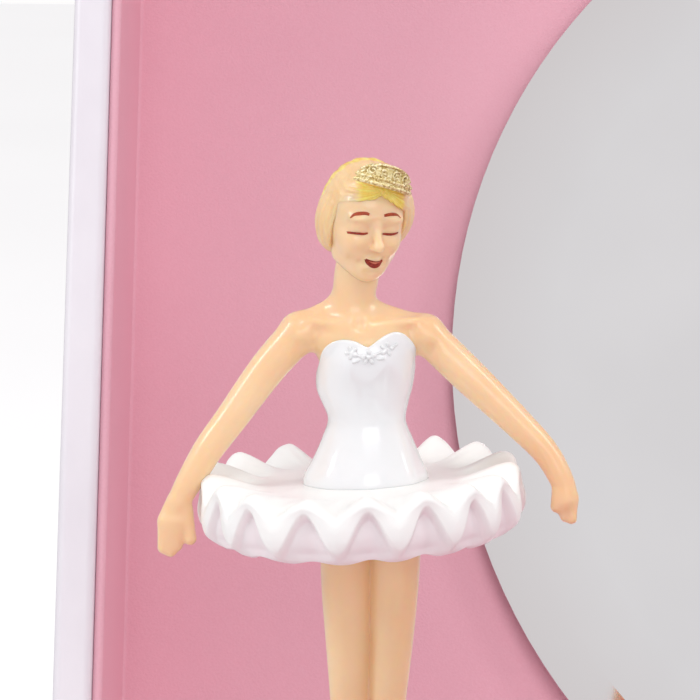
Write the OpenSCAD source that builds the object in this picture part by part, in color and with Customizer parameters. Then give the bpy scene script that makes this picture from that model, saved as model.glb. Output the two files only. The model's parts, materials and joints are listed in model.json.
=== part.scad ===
// Musical jewellery box: a hinged case with a mirror in its lid, a wind-up movement under
// the stage, and a dancer on a spring that folds flat as the lid closes.
// Millimetres. Origin: middle of the underside. Front is -Y. The lid is drawn standing open.

/* [Case] */
// Outer width of the case
case_w = 158; // [150:1:176]
// Outer depth of the case
case_d = 114; // [112:1:130]
// Height of the case's rim above the surface that it stands on
case_h = 62; // [61:1:70]
// Thickness of the case and lid panels
wall = 3; // [2.5:0.1:3.5]
// Thickness of the felt under the case
felt_t = 0.8; // [0.5:0.1:1.2]
// How far the felt stays inside the case's outline
felt_inset = 2; // [1:0.5:6]
// Thickness of the velour lining
lining_t = 0.8; // [0.5:0.1:1]
// How far the case lining stops below the rim
lining_drop = 0.5; // [0.2:0.1:2]

/* [Lid] */
// Outer height of the lid
lid_h = 25; // [24:1:30]
// Angle that the lid stands open
lid_open = 112; // [100:1:115]
// Gap between the lid and the rim when shut
lid_gap = 0.3; // [0.2:0.1:0.5]
// Diameter of the mirror
mirror_d = 96; // [70:1:96]
// Thickness of the mirror glass
mirror_t = 2; // [1.5:0.1:2.2]
// Width of the mirror's bevelled edge
mirror_bevel = 3.5; // [2:0.5:6]
// Height of the edge that the bevel leaves
mirror_edge = 0.9; // [0.6:0.1:1.2]
// Thickness of the pad that the mirror is stuck to
pad_t = 0.8; // [0.5:0.1:1]
// How far the pad stays inside the mirror's edge
pad_inset = 5; // [2:1:15]
// Distance from the hinge pins to the mirror's middle, along the lid
mirror_up = 54; // [54:0.5:58]

/* [Hinges] */
// Distance of each hinge's middle from the box's middle
hinge_x = 45; // [35:1:52]
// Width of a hinge
hinge_w = 16; // [12:1:24]
// Length of a leaf below or above the pin
leaf_l = 9; // [7:0.5:12]
// Thickness of a leaf
leaf_t = 0.8; // [0.5:0.1:0.9]
// Radius of a knuckle
knuckle_r = 1.2; // [1.1:0.1:1.5]
// Radius of a hinge pin
hinge_pin_r = 0.6; // [0.5:0.05:0.7]
// Distance between a leaf's two screws
leaf_screw_pitch = 9; // [7:0.5:10]
// Shank radius of a hinge screw
leaf_screw_r = 0.5; // [0.4:0.05:0.6]
// Head radius of a hinge screw
leaf_head_r = 1.2; // [1:0.1:1.5]
// Height of a hinge screw's head
leaf_head_h = 0.5; // [0.3:0.1:0.7]

/* [Inside] */
// Height of the dancer's stage above the surface that the case stands on
stage_z = 50; // [49:0.5:52]
// Thickness of the stage and the partitions
board_t = 2; // [1.5:0.1:2.5]
// Depth of the stage from front to back
stage_d = 40; // [39:1:42]
// Width of the stage from the left wall
stage_w = 72; // [71:1:79]
// Depth of the ring tray's floor below the stage
ring_floor_drop = 20; // [16:1:24]
// Number of ring rolls
roll_count = 5; // [3:1:6]
// Height of a ring roll
roll_h = 12; // [9:0.5:14]
// Gap between ring rolls
roll_gap = 0.3; // [0.2:0.1:1]
// Thickness of a compartment's floor
floor_t = 2; // [1:0.5:3]
// Height of the divider's top below the stage
divider_drop = 6; // [2:1:20]

/* [Movement] */
// Height of the spring barrel's axis
barrel_z = 26; // [25:0.5:27]
// Radius of the spring barrel
barrel_r = 12; // [11.5:0.1:12.2]
// Thickness of the barrel's wall
barrel_wall = 1; // [0.8:0.1:1.5]
// Thickness of the bedplate
plate_t = 1.5; // [1.2:0.1:2]
// Height of the bedplate
plate_h = 38; // [36:1:38]
// Height of the bedplate's lower edge
plate_z = 6; // [5:0.5:6.5]
// Length of the arbor's boss on the bedplate
boss_l = 5.2; // [4:0.1:6]
// Radius of the winding arbor
arbor_r = 2; // [1.7:0.1:2.2]
// Length of the mainspring's strip in turns
spring_turns = 7; // [5:1:9]
// Thickness of the mainspring
spring_t = 0.35; // [0.25:0.05:0.4]
// Teeth of the barrel's face wheel
face_teeth = 40; // [40:1:40]
// Teeth of the two pinions that mesh with it
pinion_teeth = 10; // [10:1:10]
// Module of the face wheel and its pinions
face_m = 0.6; // [0.6:0.01:0.6]
// Width of those pinions
pinion_w = 3; // [2.5:0.1:3]
// Radius of the pinned cylinder
cyl_r = 6.5; // [6:0.1:6.6]
// Length of the pinned cylinder
cyl_l = 22; // [20:1:22]
// Height of a music pin
pin_h = 0.8; // [0.5:0.1:0.9]
// Radius of the cylinder's arbor
cyl_arbor_r = 1; // [0.8:0.05:1.1]
// Number of comb teeth
comb_teeth = 18; // [12:1:20]
// Thickness of the comb
comb_t = 0.8; // [0.6:0.1:1]
// Gap between the music pins and the comb's tips
comb_gap = 0.15; // [0.1:0.05:0.3]
// Height of the comb's screwed base
comb_base_h = 4; // [3.5:0.1:4.5]
// Module of the governor's train
gov_m = 0.5; // [0.5:0.01:0.5]
// Teeth of the wheel on the cylinder
cyl_wheel_teeth = 30; // [30:1:30]
// Teeth of the governor pinion
gov_pinion_teeth = 10; // [10:1:10]
// Teeth of the worm wheel
worm_wheel_teeth = 24; // [24:1:24]
// Thickness of the train's wheels
wheel_t = 1.5; // [1.2:0.1:1.5]
// Direction from the cylinder to the governor arbor
gov_angle = 53; // [48:1:56]
// Radius of the governor arbor
gov_arbor_r = 0.8; // [0.6:0.05:0.9]
// Radius of the worm's shaft
worm_shaft_r = 0.6; // [0.5:0.05:0.65]
// Pitch radius of the worm
worm_r = 1.6; // [1.5:0.05:1.7]
// Radius that the air brake sweeps
fan_r = 5.5; // [4.5:0.1:5.8]
// Height of the air brake
fan_h = 2.4; // [1.8:0.1:2.5]
// Thickness of the lugs that hold the air brake's shaft
lug_t = 1.2; // [1:0.1:1.3]
// Width of those lugs
lug_w = 5; // [4:0.1:5.2]
// Shank radius of the screws that hold the movement
move_screw_r = 1.25; // [1:0.05:1.4]
// Head radius of those screws
move_head_r = 2.6; // [2.2:0.1:3]
// Height of those screws' heads
move_head_h = 1.6; // [1.2:0.1:2]

/* [Key and stop lever] */
// Radius of the key's boss
key_boss_r = 3.2; // [3:0.1:3.6]
// Length of the key's boss
key_boss_l = 8; // [6:0.5:12]
// Radius of each of the key's wings
key_wing_r = 6; // [5:0.5:7]
// Distance from the key's axis to a wing's middle
key_wing_x = 7.5; // [7:0.5:8.5]
// Thickness of the key's wings
key_wing_t = 2; // [1.5:0.1:2.5]
// Radius of the hole in a wing
key_eye_r = 2.4; // [1.5:0.1:2.8]
// Gap between the back panel and the key
key_gap = 1.2; // [0.8:0.1:2]
// Thickness of the stop lever
stop_t = 0.8; // [0.5:0.1:1]
// Width of the stop lever's strip
stop_w = 0.8; // [0.6:0.1:0.9]
// Height of the stop lever's head above the rim
stop_up = 1.8; // [1.6:0.1:2]

/* [Dancer's drive] */
// Distance from the left side of the case to the dancer's axis
dancer_in = 23.5; // [22.5:0.5:24.5]
// Distance from the back of the case to the dancer's axis
dancer_back = 29; // [28.5:0.5:29.5]
// Radius of the spindle
spindle_r = 1.5; // [1.2:0.1:1.6]
// Radius of the spindle's bush below its flange
bush_r = 3; // [2.6:0.1:3.5]
// Length of the bush
bush_l = 8; // [7:0.5:8]
// Radius of the bush's flange
flange_r = 7; // [5:0.5:8]
// Height of the bush's flange
flange_h = 1.5; // [1:0.1:2]
// Height of the feet above the rim
feet_up = 10; // [9:0.5:12]
// Mean radius of the dancer's spring
coil_r = 2.2; // [2.1:0.1:2.6]
// Radius of the spring's wire
coil_wire_r = 0.3; // [0.25:0.05:0.32]
// Turns of the spring
coil_turns = 13; // [8:1:14]

/* [Dancer] */
// Length of the legs from the toes to the tutu's middle
leg_l = 35; // [33:0.5:36]
// Radius of a thigh
thigh_r = 1.6; // [1.4:0.05:1.7]
// Distance from the dancer's axis to the left hand's tip
left_reach = 12; // [11:0.1:12.5]
// Depth of the left hand's tip below the shoulders
left_drop = 13.6; // [12.5:0.1:14]
// Distance from the dancer's axis to the right hand's tip
right_reach = 12.7; // [11.5:0.1:13]
// Depth of the right hand's tip below the shoulders
right_drop = 11.6; // [11:0.1:13]
// Radius of an arm below the shoulder
arm_r = 1.2; // [1:0.05:1.3]
// Height of the waist above the tutu's middle
waist_up = 4.7; // [4:0.1:5.5]
// Height of the shoulders above the waist
shoulder_up = 5.7; // [5:0.1:6.5]
// Height of the head's middle above the shoulders
head_up = 6.2; // [5.8:0.1:7]
// Radius of the tutu
tutu_r = 10.2; // [8:0.1:10.4]
// Number of the tutu's ruffles
tutu_lobes = 16; // [10:1:20]
// Height of the tutu's ruffles
ruffle = 0.35; // [0.1:0.05:0.5]
// Half the waist's width
waist_r = 2.25; // [2:0.05:2.5]
// Half the chest's width
chest_r = 3.05; // [2.8:0.05:3.3]
// Half the head's width
head_r = 3.05; // [2.7:0.05:3.3]

/* [Hidden] */
$fn = 48;

// Fits
run_fit = 0.05;   // radial clearance of a turning shaft
seat_fit = 0.05;  // radial clearance of a pressed or screwed shaft
end_gap = 0.3;    // clearance between faces that pass each other
eps = 0.01;       // how far a cut runs past a face

// Case
half_w = case_w / 2;
half_d = case_d / 2;
in_w = half_w - wall;
in_d = half_d - wall;
bottom_top = felt_t + wall;
stage_front_y = in_d - stage_d;
stage_right_x = stage_w - in_w;
ring_floor_z = stage_z - ring_floor_drop;

// Hinge axis and lid
hinge_out = knuckle_r + 0.2;
hinge_y = half_d + hinge_out;
lid_z = case_h + lid_gap;
lid_top_z = case_h + lid_h - wall;
lid_lining_z = lid_top_z - lining_t;
pad_z = lid_lining_z - pad_t;
mirror_y = hinge_y - mirror_up;
leaf_screw_drop = (leaf_l + knuckle_r) / 2 + 0.5;
screw_bite = 2;

// Dancer's axis and the face wheel's mesh
dancer_x = dancer_in - half_w;
dancer_y = half_d - dancer_back;
face_r = face_m * face_teeth / 2;
pinion_r = face_m * pinion_teeth / 2;
pinion_tip_r = pinion_r + 0.4;
mesh_y = dancer_y + pinion_r;
face_tip_y = mesh_y - 0.2;
face_tooth_h = 1.8;
face_tooth_w = 0.5;
face_ring_w = 2;
face_ring_t = 1.2;

// Barrel
barrel_front = face_tip_y + face_tooth_h;
plate_front = in_d - plate_t;
barrel_back = plate_front - boss_l - end_gap;
arbor_front = barrel_front - 1.2;
key_y = half_d + key_gap;
key_end = key_y + key_boss_l;

// Cylinder, comb and governor
cyl_y = dancer_y;
cyl_z = barrel_z;
face_side_x = dancer_x + face_r;
arm_t = 1.5;
arm1_x = face_side_x + pinion_w / 2 + 0.5;
cyl_x = arm1_x + arm_t + 0.5;
wheel_x = cyl_x + cyl_l + 0.5;
arm2_x = wheel_x + wheel_t + 0.5;
gov_dist = gov_m * (cyl_wheel_teeth + gov_pinion_teeth) / 2;
gov_y = cyl_y + gov_dist * cos(gov_angle);
gov_z = cyl_z + gov_dist * sin(gov_angle);
worm_wheel_x = arm2_x + arm_t + 3;
worm_x = worm_wheel_x + wheel_t / 2;
worm_wheel_r = gov_m * worm_wheel_teeth / 2;
worm_y = gov_y - worm_wheel_r - worm_r;
worm_pitch = PI * gov_m;
worm_tooth = 0.4;
worm_root = 0.6;
stop_pin_r = 0.6;
ear_w = 1.5;
gov_plate_x = worm_x + max(worm_r + worm_tooth, stop_t / 2 + end_gap + ear_w) + end_gap;
lug_low_z = gov_z - worm_wheel_r - lug_t - 1;
lug_high_z = gov_z + worm_wheel_r + 1.2;
fan_z = lug_high_z + lug_t + 0.5;
comb_tip_z = cyl_z - cyl_r - pin_h - comb_gap;
comb_z = plate_z - 1;
plate_x0 = dancer_x - barrel_r - 1;
plate_x1 = gov_plate_x + arm_t + 1;
shelf_h = comb_base_h + 1;
comb_front_y = cyl_y - comb_t / 2;
comb_back_y = cyl_y + comb_t / 2;

// Stop lever
stop_pivot_y = in_d - 3.5;
stop_pivot_z = plate_z + plate_h + 0.5;
stop_head_z = case_h + stop_up;
stop_head_y = half_d - 1.6;
stop_arm_z = stage_z - board_t - stop_w / 2 - 0.4;
stop_tip_y = worm_y + fan_r - 2.4;
stop_hub_r = 1.3;

// Spindle, spring and feet
spindle_low = barrel_z + face_r - pinion_w / 2 - 1;
pinion_z = barrel_z + face_r - pinion_w / 2;
flange_top = stage_z + flange_h;
seat_z = flange_top + end_gap;
seat_h = 2;
seat_r = coil_r + coil_wire_r;
peg_r = coil_r - coil_wire_r - 0.2;
peg_h = 3;
coil_low = seat_z + seat_h + coil_wire_r;
feet_z = case_h + feet_up;
collar_h = 0.8;
coil_high = feet_z - collar_h - coil_wire_r;

// Figure, heights above the toes
waist_z = leg_l + waist_up;
shoulder_z = waist_z + shoulder_up;
head_z = shoulder_z + head_up;

// ---------- helpers ----------

// Loft through rings that have the same number of points, with flat ends.
module loft(rings) {
    n = len(rings[0]);
    m = len(rings);
    sides = [for (i = [0:m - 2], j = [0:n - 1]) let (k = (j + 1) % n)
        [(i + 1) * n + j, (i + 1) * n + k, i * n + k, i * n + j]];
    low = [for (j = [0:n - 1]) j];
    high = [for (j = [n - 1:-1:0]) (m - 1) * n + j];
    polyhedron(points = [for (r = rings) each r], faces = concat(sides, [low], [high]), convexity = 6);
}

// Loft whose last ring joins its first.
module loop_loft(rings) {
    n = len(rings[0]);
    m = len(rings);
    polyhedron(points = [for (r = rings) each r], faces = [for (i = [0:m - 1], j = [0:n - 1])
        let (k = (j + 1) % n, i2 = (i + 1) % m) [i * n + j, i2 * n + j, i2 * n + k, i * n + k]], convexity = 8);
}

// Flat ring of points: an ellipse of half-widths a and b about (x, y) at height z.
function oval(x, y, z, a, b, n = 32) = [for (i = [0:n - 1]) [x + a * cos(i * 360 / n), y + b * sin(i * 360 / n), z]];

// Tapered limb with round ends.
module limb(p, r, q, s) {
    hull() {
        translate(p) sphere(r, $fn = 20);
        translate(q) sphere(s, $fn = 20);
    }
}

// Limb through a list of [x, y, z, radius].
module limb_chain(pts) {
    for (i = [0:len(pts) - 2]) {
        limb([pts[i][0], pts[i][1], pts[i][2]], pts[i][3], [pts[i + 1][0], pts[i + 1][1], pts[i + 1][2]], pts[i + 1][3]);
    }
}

// Bar along Y from y0 to y1.
module bar_y(x, z, r, y0, y1) {
    translate([x, y0, z]) rotate([-90, 0, 0]) cylinder(r = r, h = y1 - y0);
}

// Bar along X from x0 to x1.
module bar_x(y, z, r, x0, x1) {
    translate([x0, y, z]) rotate([0, 90, 0]) cylinder(r = r, h = x1 - x0);
}

// Block from corner a to corner b.
module block(a, b) {
    translate(a) cube(b - a);
}

// Outline of a spur gear with slim, straight-sided teeth and one tooth on the X axis.
module gear_outline(m, teeth) {
    pitch = PI * m;
    root = m * (teeth / 2 - 1.1);
    tip = m * teeth / 2 + 0.4;
    circle(root);
    for (i = [0:teeth - 1]) {
        rotate(i * 360 / teeth)
            polygon([[root * 0.9, -0.18 * pitch], [tip, -0.08 * pitch], [tip, 0.08 * pitch], [root * 0.9, 0.18 * pitch]]);
    }
}

// Draws its children where the standing lid has them; they are written as for a shut lid.
module in_lid() {
    translate([0, hinge_y, case_h]) rotate([-lid_open, 0, 0]) translate([0, -hinge_y, -case_h]) children();
}

module at_dancer() {
    translate([dancer_x, dancer_y, feet_z]) children();
}

// ---------- case ----------

module base_felt() {
    color("dimgray")
    block([-half_w + felt_inset, -half_d + felt_inset, 0], [half_w - felt_inset, half_d - felt_inset, felt_t]);
}

module case_bottom() {
    color("ghostwhite") block([-in_w, -in_d, felt_t], [in_w, in_d, bottom_top]);
}

module case_front() {
    color("ghostwhite") block([-in_w, -half_d, felt_t], [in_w, -in_d, case_h]);
}

// Places of the screws that hold the movement, as [x, z].
function move_screws() = [
    [plate_x0 + 4, plate_z + 5],
    [plate_x0 + 4, plate_z + plate_h - 5],
    [plate_x1 - 4, plate_z + 5]];

module case_back() {
    color("ghostwhite")
    difference() {
        block([-in_w, in_d, felt_t], [in_w, half_d, case_h]);
        bar_y(dancer_x, barrel_z, arbor_r + 1.5, in_d - 1, half_d + 1);
        for (p = move_screws()) {
            bar_y(p[0], p[1], move_screw_r + seat_fit, in_d - 1, half_d + 1);
        }
        leaf_screw_places() bar_y(0, -leaf_screw_drop, leaf_screw_r + seat_fit, -hinge_out - screw_bite - 0.2, 0);
    }
}

module case_side(side) {
    x0 = side < 0 ? -half_w : in_w;
    color("ghostwhite") block([x0, -half_d, felt_t], [x0 + wall, half_d, case_h]);
}

module case_left() {
    case_side(-1);
}

module case_right() {
    case_side(1);
}

// One velour skin on the inner faces of the case, open where the movement stands.
module case_lining() {
    color("palevioletred")
    difference() {
        block([-in_w, -in_d, bottom_top], [in_w, in_d, case_h - lining_drop]);
        block([-in_w + lining_t, -in_d + lining_t, bottom_top - 1], [in_w - lining_t, in_d - lining_t, case_h]);
        block([-in_w - 1, stage_front_y - board_t, bottom_top - 1], [stage_right_x, in_d + 1, stage_z]);
    }
}

// ---------- stage and compartments ----------

module stage_board() {
    color("pink")
    difference() {
        block([-in_w, stage_front_y - board_t, stage_z - board_t], [stage_right_x, in_d, stage_z]);
        translate([dancer_x, dancer_y, stage_z - board_t - 1]) cylinder(r = bush_r + seat_fit, h = board_t + 2);
        block([worm_x - 1.2, stop_pivot_y - 2, stage_z - board_t - 1], [worm_x + 1.2, stop_pivot_y + 1.2, stage_z + 1]);
    }
}

module stage_front() {
    color("pink")
    block([-in_w, stage_front_y - board_t, bottom_top], [stage_right_x, stage_front_y, stage_z - board_t]);
}

module stage_side() {
    color("pink")
    block([stage_right_x, -in_d + lining_t, bottom_top], [stage_right_x + board_t, in_d - lining_t, stage_z]);
}

module ring_floor() {
    color("pink")
    block([-in_w + lining_t, -in_d + lining_t, ring_floor_z - floor_t],
        [stage_right_x, stage_front_y - board_t, ring_floor_z]);
}

// Round-topped velour rolls that hold rings between them.
module ring_rolls() {
    y0 = -in_d + lining_t;
    pitch = (stage_front_y - board_t - y0) / roll_count;
    roll_w = pitch - roll_gap;
    x0 = -in_w + lining_t + roll_gap;
    x1 = stage_right_x - roll_gap;
    color("hotpink")
    for (i = [0:roll_count - 1]) {
        y = y0 + (i + 0.5) * pitch;
        block([x0, y - roll_w / 2, ring_floor_z], [x1, y + roll_w / 2, ring_floor_z + roll_h - roll_w / 2]);
        intersection() {
            bar_x(y, ring_floor_z + roll_h - roll_w / 2, roll_w / 2, x0, x1);
            block([x0, y - roll_w, ring_floor_z + roll_h - roll_w / 2 - eps], [x1, y + roll_w, ring_floor_z + roll_h]);
        }
    }
}

module right_floor() {
    color("pink")
    block([stage_right_x + board_t, -in_d + lining_t, bottom_top], [in_w - lining_t, in_d - lining_t, bottom_top + floor_t]);
}

module right_divider() {
    color("pink")
    block([stage_right_x + board_t, -board_t / 2, bottom_top + floor_t],
        [in_w - lining_t, board_t / 2, stage_z - divider_drop]);
}

// ---------- lid ----------

module lid_top() {
    color("ghostwhite") in_lid() block([-half_w, -half_d, lid_top_z], [half_w, half_d, lid_top_z + wall]);
}

module lid_front() {
    color("ghostwhite") in_lid() block([-in_w, -half_d, lid_z], [in_w, -in_d, lid_top_z]);
}

module lid_back() {
    color("ghostwhite")
    in_lid() difference() {
        block([-in_w, in_d, lid_z], [in_w, half_d, lid_top_z]);
        leaf_screw_places() bar_y(0, leaf_screw_drop, leaf_screw_r + seat_fit, -hinge_out - screw_bite - 0.2, 0);
    }
}

module lid_side(side) {
    x0 = side < 0 ? -half_w : in_w;
    color("ghostwhite") in_lid() block([x0, -half_d, lid_z], [x0 + wall, half_d, lid_top_z]);
}

module lid_left() {
    lid_side(-1);
}

module lid_right() {
    lid_side(1);
}

// Velour skin over the inside of the lid.
module lid_lining() {
    color("pink")
    in_lid() difference() {
        block([-in_w, -in_d, lid_z + lining_drop], [in_w, in_d, lid_top_z]);
        block([-in_w + lining_t, -in_d + lining_t, lid_z - 1], [in_w - lining_t, in_d - lining_t, lid_lining_z]);
    }
}

module mirror_pad() {
    color("white")
    in_lid() translate([0, mirror_y, pad_z]) cylinder(r = mirror_d / 2 - pad_inset, h = pad_t, $fn = 96);
}

// Glass disc with a ground bevel round its face.
module mirror_glass() {
    color("lightsteelblue")
    in_lid() translate([0, mirror_y, pad_z - mirror_t]) {
        translate([0, 0, mirror_t - mirror_edge]) cylinder(r = mirror_d / 2, h = mirror_edge, $fn = 128);
        cylinder(r1 = mirror_d / 2 - mirror_bevel, r2 = mirror_d / 2, h = mirror_t - mirror_edge, $fn = 128);
    }
}

// ---------- hinges ----------

// Draws its children at every leaf screw, with Y = 0 and Z = 0 on the hinge axis.
module leaf_screw_places() {
    for (x = [-hinge_x, hinge_x], s = [-0.5, 0.5]) {
        translate([x + s * leaf_screw_pitch, hinge_y, case_h]) children();
    }
}

// Leaf with knuckles over the given shares of its width; up is 1 for the lid's leaf and -1 for the case's.
module leaf(up, spans) {
    third = hinge_w / 3;
    low = up > 0 ? lid_gap + 0.1 : -leaf_l;
    high = up > 0 ? leaf_l : -0.1;
    for (x = [-hinge_x, hinge_x]) {
        translate([x, hinge_y, case_h])
        difference() {
            union() {
                block([-hinge_w / 2, -hinge_out, up > 0 ? knuckle_r + end_gap : low],
                    [hinge_w / 2, -hinge_out + leaf_t, up > 0 ? high : -knuckle_r - end_gap]);
                for (s = spans) {
                    x0 = -hinge_w / 2 + s * third + (s == 0 ? 0 : 0.1);
                    x1 = -hinge_w / 2 + (s + 1) * third - (s == 2 ? 0 : 0.1);
                    block([x0, -hinge_out, up > 0 ? low : -leaf_l + 1], [x1, -hinge_out + leaf_t, up > 0 ? high - 1 : high]);
                    bar_x(0, 0, knuckle_r, x0, x1);
                }
            }
            bar_x(0, 0, hinge_pin_r + run_fit, -hinge_w, hinge_w);
            for (s = [-0.5, 0.5]) {
                bar_y(s * leaf_screw_pitch, up * leaf_screw_drop, leaf_screw_r + seat_fit, -hinge_out - 1, 0);
            }
        }
    }
}

module hinge_case_leaves() {
    color("gold") leaf(-1, [0, 2]);
}

module hinge_lid_leaves() {
    color("gold") in_lid() leaf(1, [1]);
}

module hinge_pins() {
    color("gold")
    for (x = [-hinge_x, hinge_x]) {
        bar_x(hinge_y, case_h, hinge_pin_r, x - hinge_w / 2, x + hinge_w / 2);
    }
}

// Domed screw through a leaf into the panel.
module leaf_screw() {
    bar_y(0, 0, leaf_screw_r, -hinge_out - screw_bite, -hinge_out + leaf_t + eps);
    bar_y(0, 0, leaf_head_r, -hinge_out + leaf_t, -hinge_out + leaf_t + leaf_head_h);
}

module hinge_case_screws() {
    color("gold") leaf_screw_places() translate([0, 0, -leaf_screw_drop]) leaf_screw();
}

module hinge_lid_screws() {
    color("gold") in_lid() leaf_screw_places() translate([0, 0, leaf_screw_drop]) leaf_screw();
}

// ---------- movement ----------

// Cast plate on the back panel, with the arbor's boss, the comb's shelf, the cylinder's arms
// and the stop lever's ears.
module bedplate() {
    color("silver")
    difference() {
        union() {
            block([plate_x0, plate_front, plate_z], [plate_x1, in_d, plate_z + plate_h]);
            bar_y(dancer_x, barrel_z, arbor_r + 3, plate_front - boss_l, plate_front + eps);
            block([cyl_x, comb_back_y, comb_z], [cyl_x + cyl_l, plate_front + eps, comb_z + shelf_h]);
            block([arm1_x, cyl_y - 4, cyl_z - 4], [arm1_x + arm_t, plate_front + eps, cyl_z + 4]);
            block([arm2_x, cyl_y - 4, cyl_z - 4], [arm2_x + arm_t, plate_front + eps, cyl_z + 4]);
            block([arm2_x, gov_y - 4, cyl_z], [arm2_x + arm_t, plate_front + eps, gov_z + 3]);
            for (s = [-1, 1]) {
                translate([worm_x + s * (stop_t / 2 + end_gap + ear_w / 2), 0, 0])
                    block([-ear_w / 2, stop_pivot_y - 2, stop_pivot_z - 5], [ear_w / 2, plate_front + eps, stop_pivot_z + 2]);
            }
        }
        bar_y(dancer_x, barrel_z, arbor_r + run_fit, plate_front - boss_l - 1, in_d + 1);
        bar_y(dancer_x, barrel_z, arbor_r + 1, plate_front - 2, in_d + 1);
        bar_x(cyl_y, cyl_z, cyl_arbor_r + run_fit, arm1_x - 1, arm2_x + arm_t + 1);
        bar_x(gov_y, gov_z, gov_arbor_r + run_fit, arm2_x - 1, arm2_x + arm_t + 1);
        bar_x(stop_pivot_y, stop_pivot_z, stop_pin_r + run_fit, worm_x - 6, worm_x + 6);
        for (p = move_screws()) {
            bar_y(p[0], p[1], move_screw_r + seat_fit, plate_front - 1, in_d + 1);
        }
        for (x = comb_screw_places()) {
            bar_y(x, comb_z + comb_base_h / 2, 0.6 + seat_fit, comb_back_y - 1, comb_back_y + 3.2);
        }
    }
}

// Three pan-head screws through the back panel into the bedplate.
module movement_screws() {
    color("silver")
    for (p = move_screws()) {
        bar_y(p[0], p[1], move_screw_r, plate_front, half_d + eps);
        difference() {
            bar_y(p[0], p[1], move_head_r, half_d, half_d + move_head_h);
            block([p[0] - 2, half_d + move_head_h - 0.6, p[1] - 0.3], [p[0] + 2, half_d + move_head_h + 1, p[1] + 0.3]);
        }
    }
}

// Wrap spring that lets the arbor turn one way only.
module clutch_spring() {
    ring_r = 0.35;
    color("dimgray")
    translate([dancer_x, 0, barrel_z]) rotate([-90, 0, 0])
    for (i = [0:3]) {
        translate([0, 0, plate_front - 1.5 + i * (2 * ring_r + 0.1)])
            rotate_extrude() translate([arbor_r + run_fit + ring_r, 0]) circle(ring_r, $fn = 16);
    }
}

// Cup of the going barrel, with the face wheel's teeth on its front rim.
module spring_barrel() {
    color("goldenrod")
    difference() {
        union() {
            bar_y(dancer_x, barrel_z, barrel_r, barrel_front, barrel_back);
            bar_y(dancer_x, barrel_z, face_r + face_ring_w / 2, barrel_front, barrel_front + face_ring_t);
            for (i = [0:face_teeth - 1]) {
                translate([dancer_x, 0, barrel_z]) rotate([0, i * 360 / face_teeth, 0])
                    block([face_r - face_ring_w / 2, face_tip_y, -face_tooth_w / 2],
                        [face_r + face_ring_w / 2 - 0.05, barrel_front + eps, face_tooth_w / 2]);
            }
        }
        bar_y(dancer_x, barrel_z, arbor_r + run_fit, barrel_front - 1, barrel_back + 1);
        bar_y(dancer_x, barrel_z, barrel_r - barrel_wall, barrel_front + barrel_wall, barrel_back + 1);
    }
}

module barrel_cover() {
    color("gold")
    difference() {
        bar_y(dancer_x, barrel_z, barrel_r - barrel_wall - seat_fit, barrel_back - 1.2, barrel_back);
        bar_y(dancer_x, barrel_z, arbor_r + run_fit, barrel_back - 2, barrel_back + 1);
    }
}

// Flat spiral strip.
module mainspring() {
    r0 = arbor_r + end_gap;
    r1 = barrel_r - barrel_wall - spring_t - 0.1;
    steps = spring_turns * 16;
    r = function (i) r0 + (r1 - r0) * i / steps;
    at = function (i, d) [(r(i) + d) * cos(i * 22.5), (r(i) + d) * sin(i * 22.5)];
    color("slategray")
    translate([dancer_x, barrel_front + barrel_wall + end_gap, barrel_z]) rotate([-90, 0, 0])
        linear_extrude(barrel_back - barrel_front - barrel_wall - 1.2 - 2 * end_gap)
            polygon(concat([for (i = [0:steps]) at(i, 0)], [for (i = [steps:-1:0]) at(i, spring_t)]));
}

module winding_arbor() {
    color("silver") bar_y(dancer_x, barrel_z, arbor_r, arbor_front, key_end - 0.5);
}

module arbor_clip() {
    color("dimgray")
    difference() {
        bar_y(dancer_x, barrel_z, arbor_r + 1.4, barrel_front - end_gap - 0.6, barrel_front - end_gap);
        bar_y(dancer_x, barrel_z, arbor_r + seat_fit, barrel_front - 2, barrel_front);
    }
}

// Butterfly key on the arbor's end.
module winding_key() {
    color("goldenrod")
    difference() {
        union() {
            bar_y(dancer_x, barrel_z, key_boss_r, key_y, key_end);
            translate([dancer_x, key_end + key_wing_r - 2, barrel_z - key_wing_t / 2]) linear_extrude(key_wing_t)
            difference() {
                union() {
                    translate([-key_wing_x, -key_wing_r - 1]) square([2 * key_wing_x, 5]);
                    for (s = [-1, 1]) {
                        translate([s * key_wing_x, 0]) circle(key_wing_r);
                    }
                }
                for (s = [-1, 1]) {
                    translate([s * key_wing_x, 0]) circle(key_eye_r);
                }
                translate([0, 5.5]) circle(key_wing_x - 2.5);
            }
        }
        bar_y(dancer_x, barrel_z, arbor_r + seat_fit, key_y - 1, key_end - 0.4);
    }
}

module cylinder_arbor() {
    color("silver") bar_x(cyl_y, cyl_z, cyl_arbor_r, face_side_x - pinion_w / 2 - 0.4, arm2_x + arm_t + 0.4);
}

// Brass cylinder with a row of music pins for each comb tooth.
module pinned_cylinder() {
    row = cyl_l / comb_teeth;
    color("gold")
    difference() {
        union() {
            bar_x(cyl_y, cyl_z, cyl_r, cyl_x, cyl_x + cyl_l);
            for (i = [0:comb_teeth - 1], j = [0:3]) {
                translate([cyl_x + (i + 0.5) * row, cyl_y, cyl_z]) rotate([90 * j + 37 * i, 0, 0])
                    translate([0, 0, cyl_r - 0.3]) cylinder(r = 0.2, h = pin_h + 0.3, $fn = 6);
            }
        }
        bar_x(cyl_y, cyl_z, cyl_arbor_r + seat_fit, cyl_x - 1, cyl_x + cyl_l + 1);
    }
}

// Spur gear on an X axis, turned so that a tooth points at the angle a from +Y towards +Z.
module gear_x(m, teeth, bore_r, x, y, z, w, a) {
    translate([x, y, z]) rotate([0, 90, 0]) linear_extrude(w)
    difference() {
        rotate(a + 90) gear_outline(m, teeth);
        circle(bore_r);
    }
}

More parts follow.
